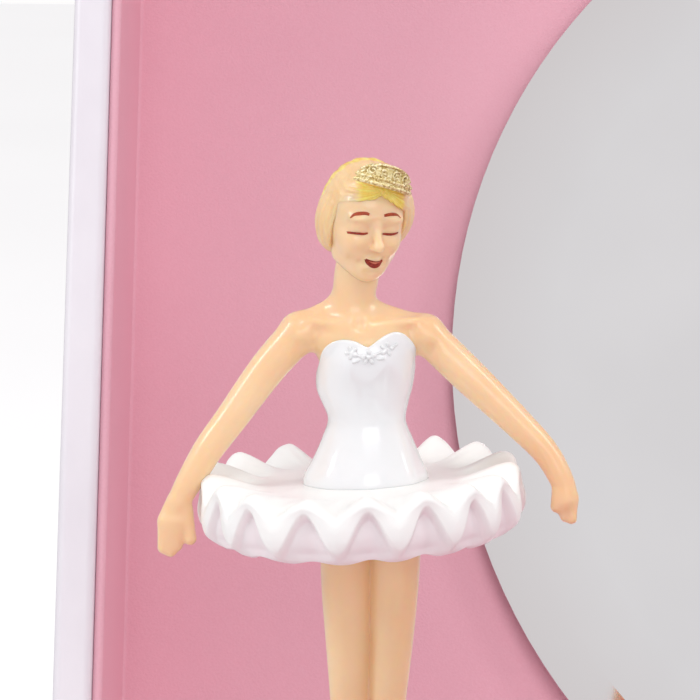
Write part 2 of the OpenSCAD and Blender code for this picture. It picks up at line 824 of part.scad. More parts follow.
module cylinder_pinion() {
    color("goldenrod")
    gear_x(face_m, pinion_teeth, cyl_arbor_r + seat_fit, face_side_x - pinion_w / 2, cyl_y, cyl_z, pinion_w,
        180 / pinion_teeth);
}

module cylinder_wheel() {
    color("goldenrod")
    gear_x(gov_m, cyl_wheel_teeth, cyl_arbor_r + seat_fit, wheel_x, cyl_y, cyl_z, wheel_t, gov_angle);
}

function comb_screw_places() = [cyl_x + cyl_l * 0.2, cyl_x + cyl_l * 0.8];

// Steel comb: longer teeth for the lower notes.
module comb() {
    row = cyl_l / comb_teeth;
    color("lightsteelblue")
    translate([0, comb_back_y, 0]) rotate([90, 0, 0]) linear_extrude(comb_t)
    difference() {
        translate([cyl_x, comb_z]) square([cyl_l, comb_tip_z - comb_z]);
        for (i = [1:comb_teeth - 1]) {
            translate([cyl_x + i * row - 0.12, comb_z + comb_base_h + 3 * i / comb_teeth])
                square([0.24, comb_tip_z - comb_z]);
        }
        for (x = comb_screw_places()) {
            translate([x, comb_z + comb_base_h / 2]) circle(0.6 + seat_fit);
        }
    }
}

module comb_screws() {
    color("silver")
    for (x = comb_screw_places()) {
        bar_y(x, comb_z + comb_base_h / 2, 1.2, comb_front_y - 0.9, comb_front_y);
        bar_y(x, comb_z + comb_base_h / 2, 0.6, comb_front_y - eps, comb_back_y + 3);
    }
}

// Arm that carries the governor arbor's end and the upright worm.
module governor_bracket() {
    color("silver")
    difference() {
        union() {
            block([gov_plate_x, worm_y - lug_w / 2, lug_low_z], [gov_plate_x + arm_t, plate_front, lug_high_z + lug_t]);
            for (z = [lug_low_z, lug_high_z]) {
                block([worm_x - 1.8, worm_y - lug_w / 2, z], [gov_plate_x + eps, worm_y + lug_w / 2, z + lug_t]);
            }
        }
        for (z = [lug_low_z, lug_high_z]) {
            translate([worm_x, worm_y, z - 1]) cylinder(r = worm_shaft_r + run_fit, h = lug_t + 2);
        }
        bar_x(gov_y, gov_z, gov_arbor_r + run_fit, gov_plate_x - 1, gov_plate_x + arm_t + 1);
    }
}

// Arbor with its pinion cut on it.
module governor_arbor() {
    color("silver") {
        bar_x(gov_y, gov_z, gov_arbor_r, wheel_x - 0.3, gov_plate_x + arm_t);
        gear_x(gov_m, gov_pinion_teeth, 0.3, wheel_x, gov_y, gov_z, wheel_t, gov_angle + 180 + 180 / gov_pinion_teeth);
    }
}

module worm_wheel() {
    color("goldenrod")
    gear_x(gov_m, worm_wheel_teeth, gov_arbor_r + seat_fit, worm_wheel_x, gov_y, gov_z, wheel_t, 180);
}

// Upright worm with the fan that brakes the train.
module air_brake() {
    turns = 5.5;
    thread_low = gov_z + worm_pitch / 4 - 3 * worm_pitch;
    color("silver") {
        translate([worm_x, worm_y, lug_low_z]) cylinder(r = worm_shaft_r, h = fan_z + fan_h - lug_low_z);
        translate([worm_x, worm_y, thread_low])
            linear_extrude(turns * worm_pitch, twist = -360 * turns, slices = 110) {
                circle(worm_r - worm_root, $fn = 24);
                polygon([[0, 0], for (a = [-40:16:40]) (worm_r + worm_tooth) * [cos(a), sin(a)]]);
            }
        block([worm_x - fan_r, worm_y - 0.25, fan_z], [worm_x + fan_r, worm_y + 0.25, fan_z + fan_h]);
        translate([worm_x, worm_y, fan_z]) cylinder(r = 1.3, h = fan_h);
    }
}

// Flat strip from p to q in the plane, half its width longer at both ends.
module strip(p, q, w) {
    translate(p) rotate(atan2(q[1] - p[1], q[0] - p[0])) translate([-w / 2, -w / 2]) square([norm(q - p) + w, w]);
}

// Stamped lever that the lid pushes: its head is over the rim and its finger is over the fan.
module stop_lever() {
    pivot = [stop_pivot_y, stop_pivot_z];
    knee = [stop_pivot_y - 4.5, stop_arm_z];
    shoulder = [stop_pivot_y, stop_head_z];
    color("silver") {
        translate([worm_x - stop_t / 2, 0, 0]) rotate([90, 0, 90]) linear_extrude(stop_t) {
            strip(pivot, shoulder, stop_w);
            strip(shoulder, [stop_head_y, stop_head_z], stop_w);
            strip(pivot, knee, stop_w);
            strip(knee, [stop_tip_y, stop_arm_z], stop_w);
            translate(pivot) circle(stop_hub_r);
        }
        bar_x(stop_pivot_y, stop_pivot_z, stop_pin_r, worm_x - stop_t / 2 - end_gap - ear_w,
            worm_x + stop_t / 2 + end_gap + ear_w);
    }
}

// ---------- dancer's drive ----------

module spindle_bush() {
    color("gold")
    translate([dancer_x, dancer_y, 0])
    difference() {
        union() {
            translate([0, 0, flange_top - bush_l - flange_h]) cylinder(r = bush_r, h = bush_l + eps);
            translate([0, 0, stage_z]) cylinder(r = flange_r, h = flange_h);
        }
        translate([0, 0, flange_top - bush_l - flange_h - 1]) cylinder(r = spindle_r + run_fit, h = bush_l + flange_h + 2);
    }
}

// Spindle with the seat and peg that hold the spring's lower end.
module spindle() {
    color("gold")
    translate([dancer_x, dancer_y, 0]) {
        translate([0, 0, spindle_low]) cylinder(r = spindle_r, h = seat_z - spindle_low + eps);
        translate([0, 0, seat_z]) cylinder(r = seat_r, h = seat_h);
        translate([0, 0, seat_z]) cylinder(r = peg_r, h = seat_h + peg_h);
    }
}

module spindle_pinion() {
    color("goldenrod")
    translate([dancer_x, dancer_y, pinion_z]) linear_extrude(pinion_w)
    difference() {
        gear_outline(face_m, pinion_teeth);
        circle(spindle_r + seat_fit);
    }
}

// Coil that carries the dancer and bends as the lid folds it down.
module dancer_spring() {
    sides = 6;
    per_turn = 14;
    steps = coil_turns * per_turn;
    rise = (coil_high - coil_low) / steps;
    color("silver")
    translate([dancer_x, dancer_y, coil_low])
        loft([for (i = [0:steps]) let (a = i * 360 / per_turn)
            [for (j = [0:sides - 1]) let (b = -j * 360 / sides, r = coil_r + coil_wire_r * cos(b))
                [r * cos(a), r * sin(a), i * rise + coil_wire_r * sin(b)]]]);
}

// ---------- dancer ----------

// Closed legs on their toes, with the collar and peg that sit in the spring.
module dancer_legs() {
    // Across, back and radius as shares of the thigh's radius, and height as a share of the leg's length
    shares = [[0.28, 0, 0.017, 0.34], [0.39, 0, 0.1, 0.44], [0.66, 0.09, 0.34, 0.66], [0.63, 0, 0.5, 0.66],
        [0.78, -0.06, 0.68, 0.81], [0.91, 0, 0.86, 0.95], [0.94, 0, 0.98, 1]];
    leg = [for (p = shares) [thigh_r * p[0], thigh_r * p[1], leg_l * p[2], thigh_r * p[3]]];
    color("navajowhite")
    at_dancer() {
        for (s = [-1, 1]) {
            limb_chain([for (p = leg) [s * p[0], p[1], p[2], p[3]]]);
        }
        translate([0, 0, -collar_h]) cylinder(r = seat_r, h = collar_h + 0.3);
        translate([0, 0, -collar_h - peg_h]) cylinder(r = peg_r, h = peg_h + 1);
    }
}

// Head, neck, shoulders and arms in one moulding.
module dancer_body() {
    // Shares of the hand's reach, of its reach again for the way forward, of its drop and of the arm's radius
    left_shares = [[0.39, 0, 0.015, 1], [0.517, 0.017, 0.184, 0.96], [0.704, 0.042, 0.42, 0.83],
        [0.817, 0.058, 0.551, 0.77], [0.908, 0.075, 0.691, 0.68], [0.967, 0.083, 0.787, 0.58],
        [0.975, 0.083, 0.882, 0.79], [1, 0.092, 1, 0.5]];
    right_shares = [[0.354, 0, 0.017, 1], [0.48, 0.016, 0.216, 0.98], [0.732, 0.039, 0.491, 0.79],
        [0.874, 0.055, 0.647, 0.69], [0.953, 0.071, 0.81, 0.58], [0.976, 0.079, 0.922, 0.62],
        [1, 0.087, 1, 0.38]];
    left = [for (p = left_shares) [-left_reach * p[0], -left_reach * p[1], -left_drop * p[2], arm_r * p[3]]];
    right = [for (p = right_shares) [right_reach * p[0], -right_reach * p[1], -right_drop * p[2], arm_r * p[3]]];
    color("navajowhite")
    at_dancer() {
        translate([0, 0, shoulder_z]) {
            limb_chain(left);
            limb_chain(right);
            limb([-4.5, 0, -0.3], 1.25, [4.4, 0, -0.3], 1.25);
            limb([-1.6, -0.1, -1.6], 1.75, [1.6, -0.1, -1.6], 1.75);
            limb([-0.9, 0.1, -0.2], 1.8, [-0.7, 0, 1.2], 1.35);
            limb([-0.7, 0, 1.2], 1.35, [-0.2, 0, head_up - 3], 1.35);
        }
        translate([-0.1, 0.2, head_z + 0.5]) scale([1, 1.1, 1.1]) sphere(head_r, $fn = 28);
        limb([0.1, -1, head_z - 1], 2.1, [0.2, -1.3, head_z - 2.4], 1.2);
    }
}

// Fitted bodice: hips, waist, chest and two-lobed neckline.
module bodice() {
    n = 32;
    rows = [[leg_l - 0.6, 3.6, 3.0], [leg_l + 0.6, 3.85, 3.1], [leg_l + 1.8, 3.2, 2.6], [waist_z - 1.3, 2.5, 2],
        [waist_z, waist_r, 1.8], [waist_z + 1.5, waist_r + 0.25, 1.95], [waist_z + 3, chest_r - 0.2, 2.25],
        [waist_z + 4.1, chest_r, 2.4], [waist_z + 4.7, chest_r, 2.35]];
    color("white")
    at_dancer()
        loft(concat([for (r = rows) oval(-0.05, 0, r[0], r[1], r[2], n)],
            [[for (i = [0:n - 1]) let (a = i * 360 / n, lobe = 0.45 * abs(cos(a)) * (1 - abs(cos(a))))
                [(chest_r - 0.3) * cos(a), 2.1 * sin(a), waist_z + 5 + 1.6 * lobe - (sin(a) > 0 ? 0.6 * sin(a) : 0)]]]));
}

// Stiff ruffled skirt: its rim waves up and down and its edge turns under.
module tutu() {
    steps = tutu_lobes * 8;
    profile = [[2.6, 0.2, 0], [tutu_r * 0.58, 0.3, 0.35], [tutu_r * 0.84, 0.55, 0.75], [tutu_r * 0.97, 0.9, 1],
        [tutu_r, 0.5, 1], [tutu_r * 0.985, -0.5, 1], [tutu_r * 0.93, -1.75, 1], [tutu_r * 0.88, -1.6, 1],
        [tutu_r * 0.68, -0.75, 0.4], [2.6, -0.6, 0]];
    color("white")
    at_dancer()
        loop_loft([for (i = [0:steps - 1]) let (a = i * 360 / steps, w = ruffle * cos(tutu_lobes * a))
            [for (p = profile) let (r = p[0] + w * p[2] * 0.7) [r * cos(a), r * sin(a), leg_l + p[1] + w * p[2]]]]);
}

// Pointed crescent on the crown.
module tiara() {
    steps = 24;
    spread = 58;
    r = head_r * 0.62;
    color("gold")
    at_dancer() translate([0.8, -1.1, head_z + 2.75]) rotate([24, 12, 0])
        loft([for (i = [0:steps]) let (t = i / steps * 2 - 1, a = -90 + t * spread, h = 0.35 + 1.35 * sqrt(max(0, 1 - t * t)))
            [[r * cos(a), r * sin(a), 0], [(r - 0.35) * cos(a), (r - 0.35) * sin(a), 0],
                [(r - 0.35) * cos(a), (r - 0.35) * sin(a), h], [r * cos(a), r * sin(a), h]]]);
}

base_felt();
case_bottom();
case_front();
case_back();
case_left();
case_right();
case_lining();
stage_board();
stage_front();
stage_side();
ring_floor();
ring_rolls();
right_floor();
right_divider();
lid_top();
lid_front();
lid_back();
lid_left();
lid_right();
lid_lining();
mirror_pad();
mirror_glass();
hinge_case_leaves();
hinge_lid_leaves();
hinge_pins();
hinge_case_screws();
hinge_lid_screws();
bedplate();
movement_screws();
clutch_spring();
spring_barrel();
barrel_cover();
mainspring();
winding_arbor();
arbor_clip();
winding_key();
cylinder_arbor();
pinned_cylinder();
cylinder_pinion();
cylinder_wheel();
comb();
comb_screws();
governor_bracket();
governor_arbor();
worm_wheel();
air_brake();
stop_lever();
spindle_bush();
spindle();
spindle_pinion();
dancer_spring();
dancer_legs();
dancer_body();
bodice();
tutu();
tiara();
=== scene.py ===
"""Looks of the musical jewellery box: camera, light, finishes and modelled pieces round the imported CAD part."""

import json
import math

import bmesh
import bpy
import numpy as np
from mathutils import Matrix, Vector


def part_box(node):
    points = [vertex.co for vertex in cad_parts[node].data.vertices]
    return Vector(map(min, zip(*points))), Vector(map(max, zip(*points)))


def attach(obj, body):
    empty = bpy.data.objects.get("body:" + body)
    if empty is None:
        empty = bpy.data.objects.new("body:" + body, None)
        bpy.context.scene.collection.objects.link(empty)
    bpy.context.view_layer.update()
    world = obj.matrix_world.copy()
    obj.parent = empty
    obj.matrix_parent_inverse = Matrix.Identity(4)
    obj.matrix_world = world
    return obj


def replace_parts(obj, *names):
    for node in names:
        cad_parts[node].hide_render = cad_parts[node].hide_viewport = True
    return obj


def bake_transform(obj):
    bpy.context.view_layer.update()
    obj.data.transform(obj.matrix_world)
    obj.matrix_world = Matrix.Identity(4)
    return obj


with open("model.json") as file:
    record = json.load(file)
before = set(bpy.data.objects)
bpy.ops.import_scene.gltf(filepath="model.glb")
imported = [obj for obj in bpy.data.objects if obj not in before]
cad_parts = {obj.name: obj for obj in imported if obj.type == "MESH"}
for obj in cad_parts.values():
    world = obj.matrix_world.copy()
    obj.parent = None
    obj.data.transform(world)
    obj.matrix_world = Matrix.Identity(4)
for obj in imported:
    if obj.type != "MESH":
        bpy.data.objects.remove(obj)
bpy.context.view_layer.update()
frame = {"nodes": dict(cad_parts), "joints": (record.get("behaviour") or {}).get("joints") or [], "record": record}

import openvdb
from mathutils import Matrix, Vector
from mathutils.bvhtree import BVHTree

MM = 0.001
NODES = frame["nodes"]
JOINTS = {j["name"]: j for j in frame["joints"]}


# ---- what everything uses: placing an object, and places taken from the frame in millimetres


def show(obj):
    """Puts an object into the scene and hands it back."""
    bpy.context.scene.collection.objects.link(obj)
    return obj


def box_mm(node):
    """Lowest and highest corner of a CAD node, in millimetres."""
    low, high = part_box(node)
    return np.array(low) / MM, np.array(high) / MM


FOLD = np.array(JOINTS["dancer_fold"]["pos_m"]) / MM  # the dancer's axis, at the spring's middle
HINGE = np.array(JOINTS["lid_hinge"]["pos_m"]) / MM  # the lid's pins
LID_OPEN = JOINTS["lid_hinge"]["range_deg"][1]  # how far the lid stands open, in degrees
PEG = 3.8  # length of the peg and collar below the dancer's toes
FEET = np.array([FOLD[0], FOLD[1], box_mm("dancer_legs")[0][2] + PEG])


# ---- camera

PHOTO_SIDE = 700  # pixels
CAMERA_PITCH = 9.0  # degrees below level
CAMERA_ROLL = 0.6  # degrees
CAMERA_DISTANCE = 190.0  # millimetres from AIM
FOCAL_PIXELS = 3077.0  # focal length in pixels of the photo
SENSOR = 36.0  # millimetres
AIM = FEET + np.array([-1.1, 0.0, 44.1])


def make_camera():
    """Long-lens camera that looks into the lid, a little down, at the dancer."""
    data = bpy.data.cameras.new("camera")
    data.sensor_width = SENSOR
    data.lens = FOCAL_PIXELS / PHOTO_SIDE * SENSOR
    data.clip_start = 0.01
    data.clip_end = 20.0
    cam = show(bpy.data.objects.new("camera", data))
    pitch = math.radians(CAMERA_PITCH)
    back = Vector((0.0, -math.cos(pitch), math.sin(pitch)))
    cam.location = Vector(AIM * MM) + back * CAMERA_DISTANCE * MM
    cam.rotation_euler = (
        Matrix.Rotation(math.radians(90) - pitch, 3, "X") @ Matrix.Rotation(math.radians(CAMERA_ROLL), 3, "Z")
    ).to_euler()
    bpy.context.scene.camera = cam


make_camera()
bpy.context.scene.view_settings.view_transform = "Standard"


# ---- materials


def lin(r, g, b):
    """Colour written as 0 to 255 display values, as Blender's linear RGBA."""
    def one(v):
        v = v / 255
        return v / 12.92 if v <= 0.04045 else ((v + 0.055) / 1.055) ** 2.4
    return (one(r), one(g), one(b), 1.0)


class Nodes:
    """A node tree with a short way to add to it."""

    def __init__(self, owner):
        owner.use_nodes = True
        self.tree = owner.node_tree

    def node(self, kind, links=None, **settings):
        """New node; links gives each input another node's output or a constant."""
        n = self.tree.nodes.new(kind)
        for key, value in settings.items():
            setattr(n, key, value)
        for key, value in (links or {}).items():
            if hasattr(value, "links"):
                self.tree.links.new(value, n.inputs[key])
            else:
                n.inputs[key].default_value = value
        return n


class Finish(Nodes):
    """Node material round one Principled shader."""

    def __init__(self, name, **values):
        self.mat = bpy.data.materials.new(name)
        super().__init__(self.mat)
        self.bsdf = self.tree.nodes["Principled BSDF"]
        self.coords = self.tree.nodes.new("ShaderNodeTexCoord").outputs["Object"]
        self.normal = None
        for key, value in values.items():
            self.bsdf.inputs[key.replace("_", " ").title().replace("Ior", "IOR")].default_value = value

    def stretched(self, x, y, z):
        """Coordinates scaled along each axis."""
        return self.node("ShaderNodeMapping", {"Vector": self.coords, "Scale": (x, y, z)}).outputs[0]

    def noise(self, scale, detail=3.0, rough=0.5, vector=None, distort=0.0):
        return self.node(
            "ShaderNodeTexNoise",
            {"Vector": vector or self.coords, "Scale": scale, "Detail": detail, "Roughness": rough,
             "Distortion": distort},
        ).outputs["Fac"]

    def ramp(self, fac, stops):
        n = self.node("ShaderNodeValToRGB", {"Fac": fac})
        while len(n.color_ramp.elements) < len(stops):
            n.color_ramp.elements.new(0.5)
        for element, (at, colour) in zip(n.color_ramp.elements, stops):
            element.position = at
            element.color = colour
        return n.outputs["Color"]

    def tones(self, fac, dark, light, a=0.3, b=0.7):
        """Two colours, blended between a and b of fac."""
        return self.ramp(fac, [(a, dark), (b, light)])

    def spread(self, fac, low, high, a=0.3, b=0.7):
        """A number that goes from low to high as fac goes from a to b."""
        return self.node(
            "ShaderNodeMapRange", {"Value": fac, "From Min": a, "From Max": b, "To Min": low, "To Max": high}
        ).outputs[0]

    def mix(self, fac, a, b):
        colour_a, colour_b, colour_out = 6, 7, 2  # sockets of a Mix node set to RGBA
        return self.node("ShaderNodeMix", {0: fac, colour_a: a, colour_b: b}, data_type="RGBA").outputs[colour_out]

    def maths(self, what, a, b=0.0):
        return self.node("ShaderNodeMath", {0: a, 1: b}, operation=what).outputs[0]

    def attribute(self, name):
        return self.node("ShaderNodeAttribute", attribute_name=name).outputs["Fac"]

    def colour(self, value):
        self.tree.links.new(value, self.bsdf.inputs["Base Color"])
        return self

    def rough(self, value):
        self.tree.links.new(value, self.bsdf.inputs["Roughness"])
        return self

    def bump(self, height, strength, distance):
        links = {"Height": height, "Strength": strength, "Distance": distance}
        if self.normal is not None:
            links["Normal"] = self.normal
        self.normal = self.node("ShaderNodeBump", links).outputs[0]
        self.tree.links.new(self.normal, self.bsdf.inputs["Normal"])
        return self

    def orange_peel(self, scale, low, high, strength, distance):
        """Roughness from low to high and a faint bump, both from one fine noise."""
        peel = self.noise(scale, 2.0)
        self.rough(self.spread(peel, low, high)).bump(peel, strength, distance)


def metal(name, dark, light, rough, grain=(1.0, 1.0, 1.0), scratch=0.15):
    """Bare metal with fine grain along one direction and uneven tarnish."""
    f = Finish(name, metallic=1.0)
    grained = f.noise(900.0, 4.0, 0.6, f.stretched(*grain))
    tarnish = f.noise(120.0, 3.0, 0.55)
    f.colour(f.tones(f.maths("MULTIPLY", f.maths("ADD", grained, tarnish), 0.5), dark, light, 0.35, 0.65))
    f.rough(f.spread(grained, rough * 0.75, rough * 1.35))
    f.bump(grained, scratch, 0.00003)
    return f.mat


def velour(name, deep, lit, tip):
    """Short pile: mottled nap, fine fibres and a sheen at grazing angles."""
    f = Finish(name, roughness=0.9, sheen_weight=0.3, sheen_roughness=0.45, sheen_tint=tip)
    nap = f.noise(45.0)
    fibre = f.noise(5200.0, 2.0, 0.6)
    tone = f.tones(nap, deep, lit, 0.25, 0.75)
    f.colour(f.mix(f.spread(fibre, 0.0, 0.3), tone, tip))
    f.bump(fibre, 0.3, 0.0001)
    return f.mat


def wrap_paper(name, base, tone):
    """Pearl paper wrap: faint clouding and a soft embossed grain."""
    f = Finish(name, roughness=0.42, specular_ior_level=0.5, coat_weight=0.25, coat_roughness=0.25)
    grain = f.noise(1500.0, 4.0, 0.6)
    weave = f.noise(420.0, 2.0, 0.5, f.stretched(1.0, 1.0, 0.45))
    cloud = f.noise(25.0)
    mottle = f.maths("ADD", f.maths("MULTIPLY", cloud, 0.7), f.maths("MULTIPLY", weave, 0.3))
    f.colour(f.tones(mottle, base, tone, 0.35, 0.65))
    f.rough(f.spread(grain, 0.38, 0.48))
    f.bump(grain, 0.15, 0.00008).bump(weave, 0.1, 0.00006)
    return f.mat


def plastic(name, dark, light, rough, sss=0.0):
    """Moulded plastic with faint flow marks and orange peel."""
    f = Finish(name, subsurface_weight=sss, subsurface_radius=(0.0012, 0.0006, 0.0003), subsurface_scale=1.0)
    f.colour(f.tones(f.noise(260.0, distort=0.6), dark, light))
    f.orange_peel(2600.0, rough * 0.85, rough * 1.2, 0.06, 0.00004)
    return f.mat


PINK_DEEP = lin(225, 166, 182)
PINK_LIT = lin(230, 173, 188)
PINK_TIP = lin(236, 188, 201)
MATERIALS = {
    "felt": velour("felt_grey", lin(92, 90, 93), lin(120, 117, 120), lin(150, 147, 150)),
    "case_panel": wrap_paper("pearl_wrap", lin(228, 223, 231), lin(234, 230, 237)),
    "velour": velour("pink_velour", PINK_DEEP, PINK_LIT, PINK_TIP),
    "velour_board": velour("pink_velour_board", PINK_DEEP, PINK_LIT, PINK_TIP),
    "velour_roll": velour("pink_velour_roll", lin(221, 162, 178), lin(227, 170, 185), PINK_TIP),
    "foam": plastic("white_foam", lin(225, 224, 222), lin(240, 239, 236), 0.9),
    "hinge_brass": metal("hinge_brass", lin(176, 140, 74), lin(226, 192, 122), 0.28, (1.0, 6.0, 6.0)),
    "cast_frame": metal("cast_frame", lin(128, 129, 131), lin(176, 177, 179), 0.5, scratch=0.4),
    "steel": metal("plated_steel", lin(150, 151, 153), lin(205, 206, 208), 0.25, (6.0, 1.0, 6.0)),
    "spring_steel": metal("spring_steel", lin(120, 122, 125), lin(198, 200, 203), 0.22),
    "comb_steel": metal("comb_steel", lin(132, 136, 144), lin(190, 194, 202), 0.3, (8.0, 8.0, 1.0)),
    "brass": metal("brass", lin(168, 128, 58), lin(222, 184, 104), 0.27, (5.0, 1.0, 5.0)),
    "gilt": metal("gilt", lin(190, 150, 82), lin(236, 204, 140), 0.18),
    "brake_plastic": plastic("nylon", lin(222, 221, 214), lin(240, 239, 232), 0.5, sss=0.2),
}


def wear(obj, mat):
    """Gives an object one material in place of those it had."""
    obj.data.materials.clear()
    obj.data.materials.append(mat)


def dress_nodes():
    """Gives every CAD node the finish of its material slot."""
    slots = {s["node"]: s["material_slot"] for s in frame["record"]["subparts"]}
    for name, obj in NODES.items():
        wear(obj, MATERIALS[slots[name]])


# ---- modelling tools


def mesh_object(name, verts_mm, faces, mat):
    """Mesh object from points in millimetres and faces."""
    mesh = bpy.data.meshes.new(name)
    mesh.from_pydata([tuple(v) for v in np.asarray(verts_mm, float) * MM], [], [tuple(f) for f in faces])
    mesh.validate()
    mesh.materials.append(mat)
    mesh.polygons.foreach_set("use_smooth", [True] * len(mesh.polygons))
    return show(bpy.data.objects.new(name, mesh))


def grid_faces(rows, cols, closed=True, flip=False):
    """Quads of a grid of points, row by row. closed joins each row's last point to its first."""
    r = np.arange(rows - 1)[:, None] * cols
    c = np.arange(cols if closed else cols - 1)[None, :]
    c2 = (c + 1) % cols
    quads = np.stack(np.broadcast_arrays(r + c, r + c2, r + cols + c2, r + cols + c), -1).reshape(-1, 4)
    return quads[:, ::-1] if flip else quads


def tube_faces(rows, cols):
    """Quads of a tube of points with a cap at each end."""
    return list(grid_faces(rows, cols)) + [list(range(cols))[::-1], [(rows - 1) * cols + j for j in range(cols)]]


def surface_of(obj, points):
    """Surface to cast rays at: an object's faces, with its points as given."""
    return BVHTree.FromPolygons([tuple(v) for v in points], [tuple(p.vertices) for p in obj.data.polygons])


def front_of(surface, x, z, otherwise):
    """How far back a surface lies at x and z, seen from the front; otherwise where there is none."""
    hit = surface.ray_cast(Vector((x, -8.0, z)), Vector((0, 1, 0)))[0]
    return hit[1] if hit else otherwise


def attribute(obj, name, values):
    """Per-vertex number that a material can read."""
    layer = obj.data.attributes.new(name, "FLOAT", "POINT")
    layer.data.foreach_set("value", np.asarray(values, np.float32))


def turn(x=0.0, y=0.0, z=0.0):
    """Rotation by degrees about X, then Z, then Y, as a 3x3 array."""
    return np.array(Matrix.Rotation(math.radians(y), 3, "Y") @ Matrix.Rotation(math.radians(z), 3, "Z")
                    @ Matrix.Rotation(math.radians(x), 3, "X"))


def soft_min(old, new, soft):
    """The smaller of two distances, rounded over where they lie within soft of each other."""
    h = np.clip(0.5 + 0.5 * (old - new) / soft, 0, 1)
    return old * (1 - h) + new * h - soft * h * (1 - h)


def smoothstep(a, b, v):
    """0 up to a, 1 from b on, and an S curve between them."""
    t = np.clip((v - a) / (b - a), 0, 1)
    return t * t * (3 - 2 * t)


def curve_through(knots, x):
    """Smooth curve through (x, value) knots."""
    kx, ky = np.array(knots, float).T
    slope = np.gradient(ky, kx)
    x = np.clip(x, kx[0], kx[-1])
    i = np.clip(np.searchsorted(kx, x, side="right") - 1, 0, len(kx) - 2)
    w = kx[i + 1] - kx[i]
    t = (x - kx[i]) / w
    return ((2 * t**3 - 3 * t**2 + 1) * ky[i] + (t**3 - 2 * t**2 + t) * w * slope[i]
            + (3 * t**2 - 2 * t**3) * ky[i + 1] + (t**3 - t**2) * w * slope[i + 1])


def ball(centre, radii, rot=None):
    """Ellipsoid: its box and its distance."""
    centre, radii = np.array(centre, float), np.broadcast_to(np.array(radii, float), 3)
    rot = np.eye(3) if rot is None else rot
    reach = np.sqrt((rot**2 * radii**2).sum(1))

    def distance(x, y, z):
        p = [x - centre[0], y - centre[1], z - centre[2]]
        q = [sum(rot[j, i] * p[j] for j in range(3)) for i in range(3)]
        k0 = np.sqrt(sum((q[i] / radii[i]) ** 2 for i in range(3)))
        k1 = np.sqrt(sum((q[i] / radii[i] ** 2) ** 2 for i in range(3))) + 1e-6
        return k0 * (k0 - 1) / k1

    return centre - reach, centre + reach, distance


def limb(a, ra, b, rb, flat=1.0):
    """Tapered rod with round ends from a to b. flat squeezes it from front to back."""
    a, b = np.array(a, float), np.array(b, float)
    ab = b - a
    r = max(ra, rb)

    def distance(x, y, z):
        px, py, pz = x - a[0], (y - a[1]) / flat, z - a[2]
        q = np.array([ab[0], ab[1] / flat, ab[2]])
        t = np.clip((px * q[0] + py * q[1] + pz * q[2]) / (q @ q + 1e-9), 0, 1)
        gap = np.sqrt((px - t * q[0]) ** 2 + (py - t * q[1]) ** 2 + (pz - t * q[2]) ** 2)
        return (gap - (ra + t * (rb - ra))) * min(flat, 1.0)

    return np.minimum(a, b) - r, np.maximum(a, b) + r, distance


class Clay:
    """A distance grid in millimetres that shapes are added to and cut from, and that is then skinned."""

    FAR = 2.0

    def __init__(self, low, high, voxel, frame_turn=None, origin=(0, 0, 0)):
        self.low, self.voxel = np.array(low, float), voxel * 1.0
        self.count = np.ceil((np.array(high) - self.low) / self.voxel).astype(int) + 1
        self.d = np.full(self.count, self.FAR, np.float32)
        self.turn = np.eye(3) if frame_turn is None else frame_turn
        self.origin = np.array(origin, float)

    def window(self, low, high, margin):
        """The part of the grid round a box: its slices and the x, y and z of its cells."""
        first = np.clip(np.floor((low - margin - self.low) / self.voxel).astype(int), 0, self.count)
        last = np.clip(np.ceil((high + margin - self.low) / self.voxel).astype(int) + 1, 0, self.count)
        spans = tuple(slice(a, b) for a, b in zip(first, last))
        axes = [(self.low[i] + self.voxel * np.arange(first[i], last[i])).astype(np.float32) for i in range(3)]
        return spans, axes[0][:, None, None], axes[1][None, :, None], axes[2][None, None, :]

    def add(self, shape, soft):
        """Joins a shape on, blended over soft millimetres."""
        spans, x, y, z = self.window(shape[0], shape[1], soft + 4 * self.voxel)
        self.d[spans] = soft_min(self.d[spans], shape[2](x, y, z), soft)
        return self

    def cut(self, shape, soft):
        """Takes a shape away, blended over soft millimetres."""
        spans, x, y, z = self.window(shape[0], shape[1], soft)
        self.d[spans] = -soft_min(-self.d[spans], shape[2](x, y, z), soft)
        return self

    def sweep(self, points, soft):
        """One smooth limb through points given as (x, y, z, radius)."""
        spans, rods_per_span = len(points) - 1, 5
        dense = np.linspace(0, spans, rods_per_span * spans + 1)
        path = np.stack([curve_through(list(enumerate(column)), dense) for column in zip(*points)], 1)
        parts = [limb(a[:3], a[3], b[:3], b[3]) for a, b in zip(path[:-1], path[1:])]
        low, high = np.min([p[0] for p in parts], 0), np.max([p[1] for p in parts], 0)

        def distance(x, y, z):
            d = parts[0][2](x, y, z)
            for part in parts[1:]:
                d = np.minimum(d, part[2](x, y, z))
            return d

        return self.add((low, high, distance), soft)

    def skin(self, name, mat, rounds=2):
        """Mesh object of the clay's surface, in the frame's place and turn."""
        grid = openvdb.FloatGrid(background=self.FAR)
        grid.copyFromArray(np.ascontiguousarray(self.d))
        points, quads = grid.convertToQuads(isovalue=0.0)
        points = np.asarray(points, float)
        edges = np.concatenate([quads[:, [0, 1]], quads[:, [1, 2]], quads[:, [2, 3]], quads[:, [3, 0]]]).astype(int)
        near = np.bincount(edges.ravel(), minlength=len(points))[:, None]
        push_in, push_out = 0.5, -0.52
        for step in range(2 * rounds):  # a push in and a push out, so that nothing shrinks
            total = np.zeros_like(points)
            for i in range(3):
                total[:, i] = (np.bincount(edges[:, 0], points[edges[:, 1], i], len(points))
                               + np.bincount(edges[:, 1], points[edges[:, 0], i], len(points)))
            points = points + (push_in if step % 2 == 0 else push_out) * (total / near - points)
        local = self.low + points * self.voxel
        obj = mesh_object(name, self.origin + local @ self.turn.T, quads[:, ::-1], mat)
        return obj, local


# ---- dancer; left and right are the picture's, and millimetres are measured from the toes

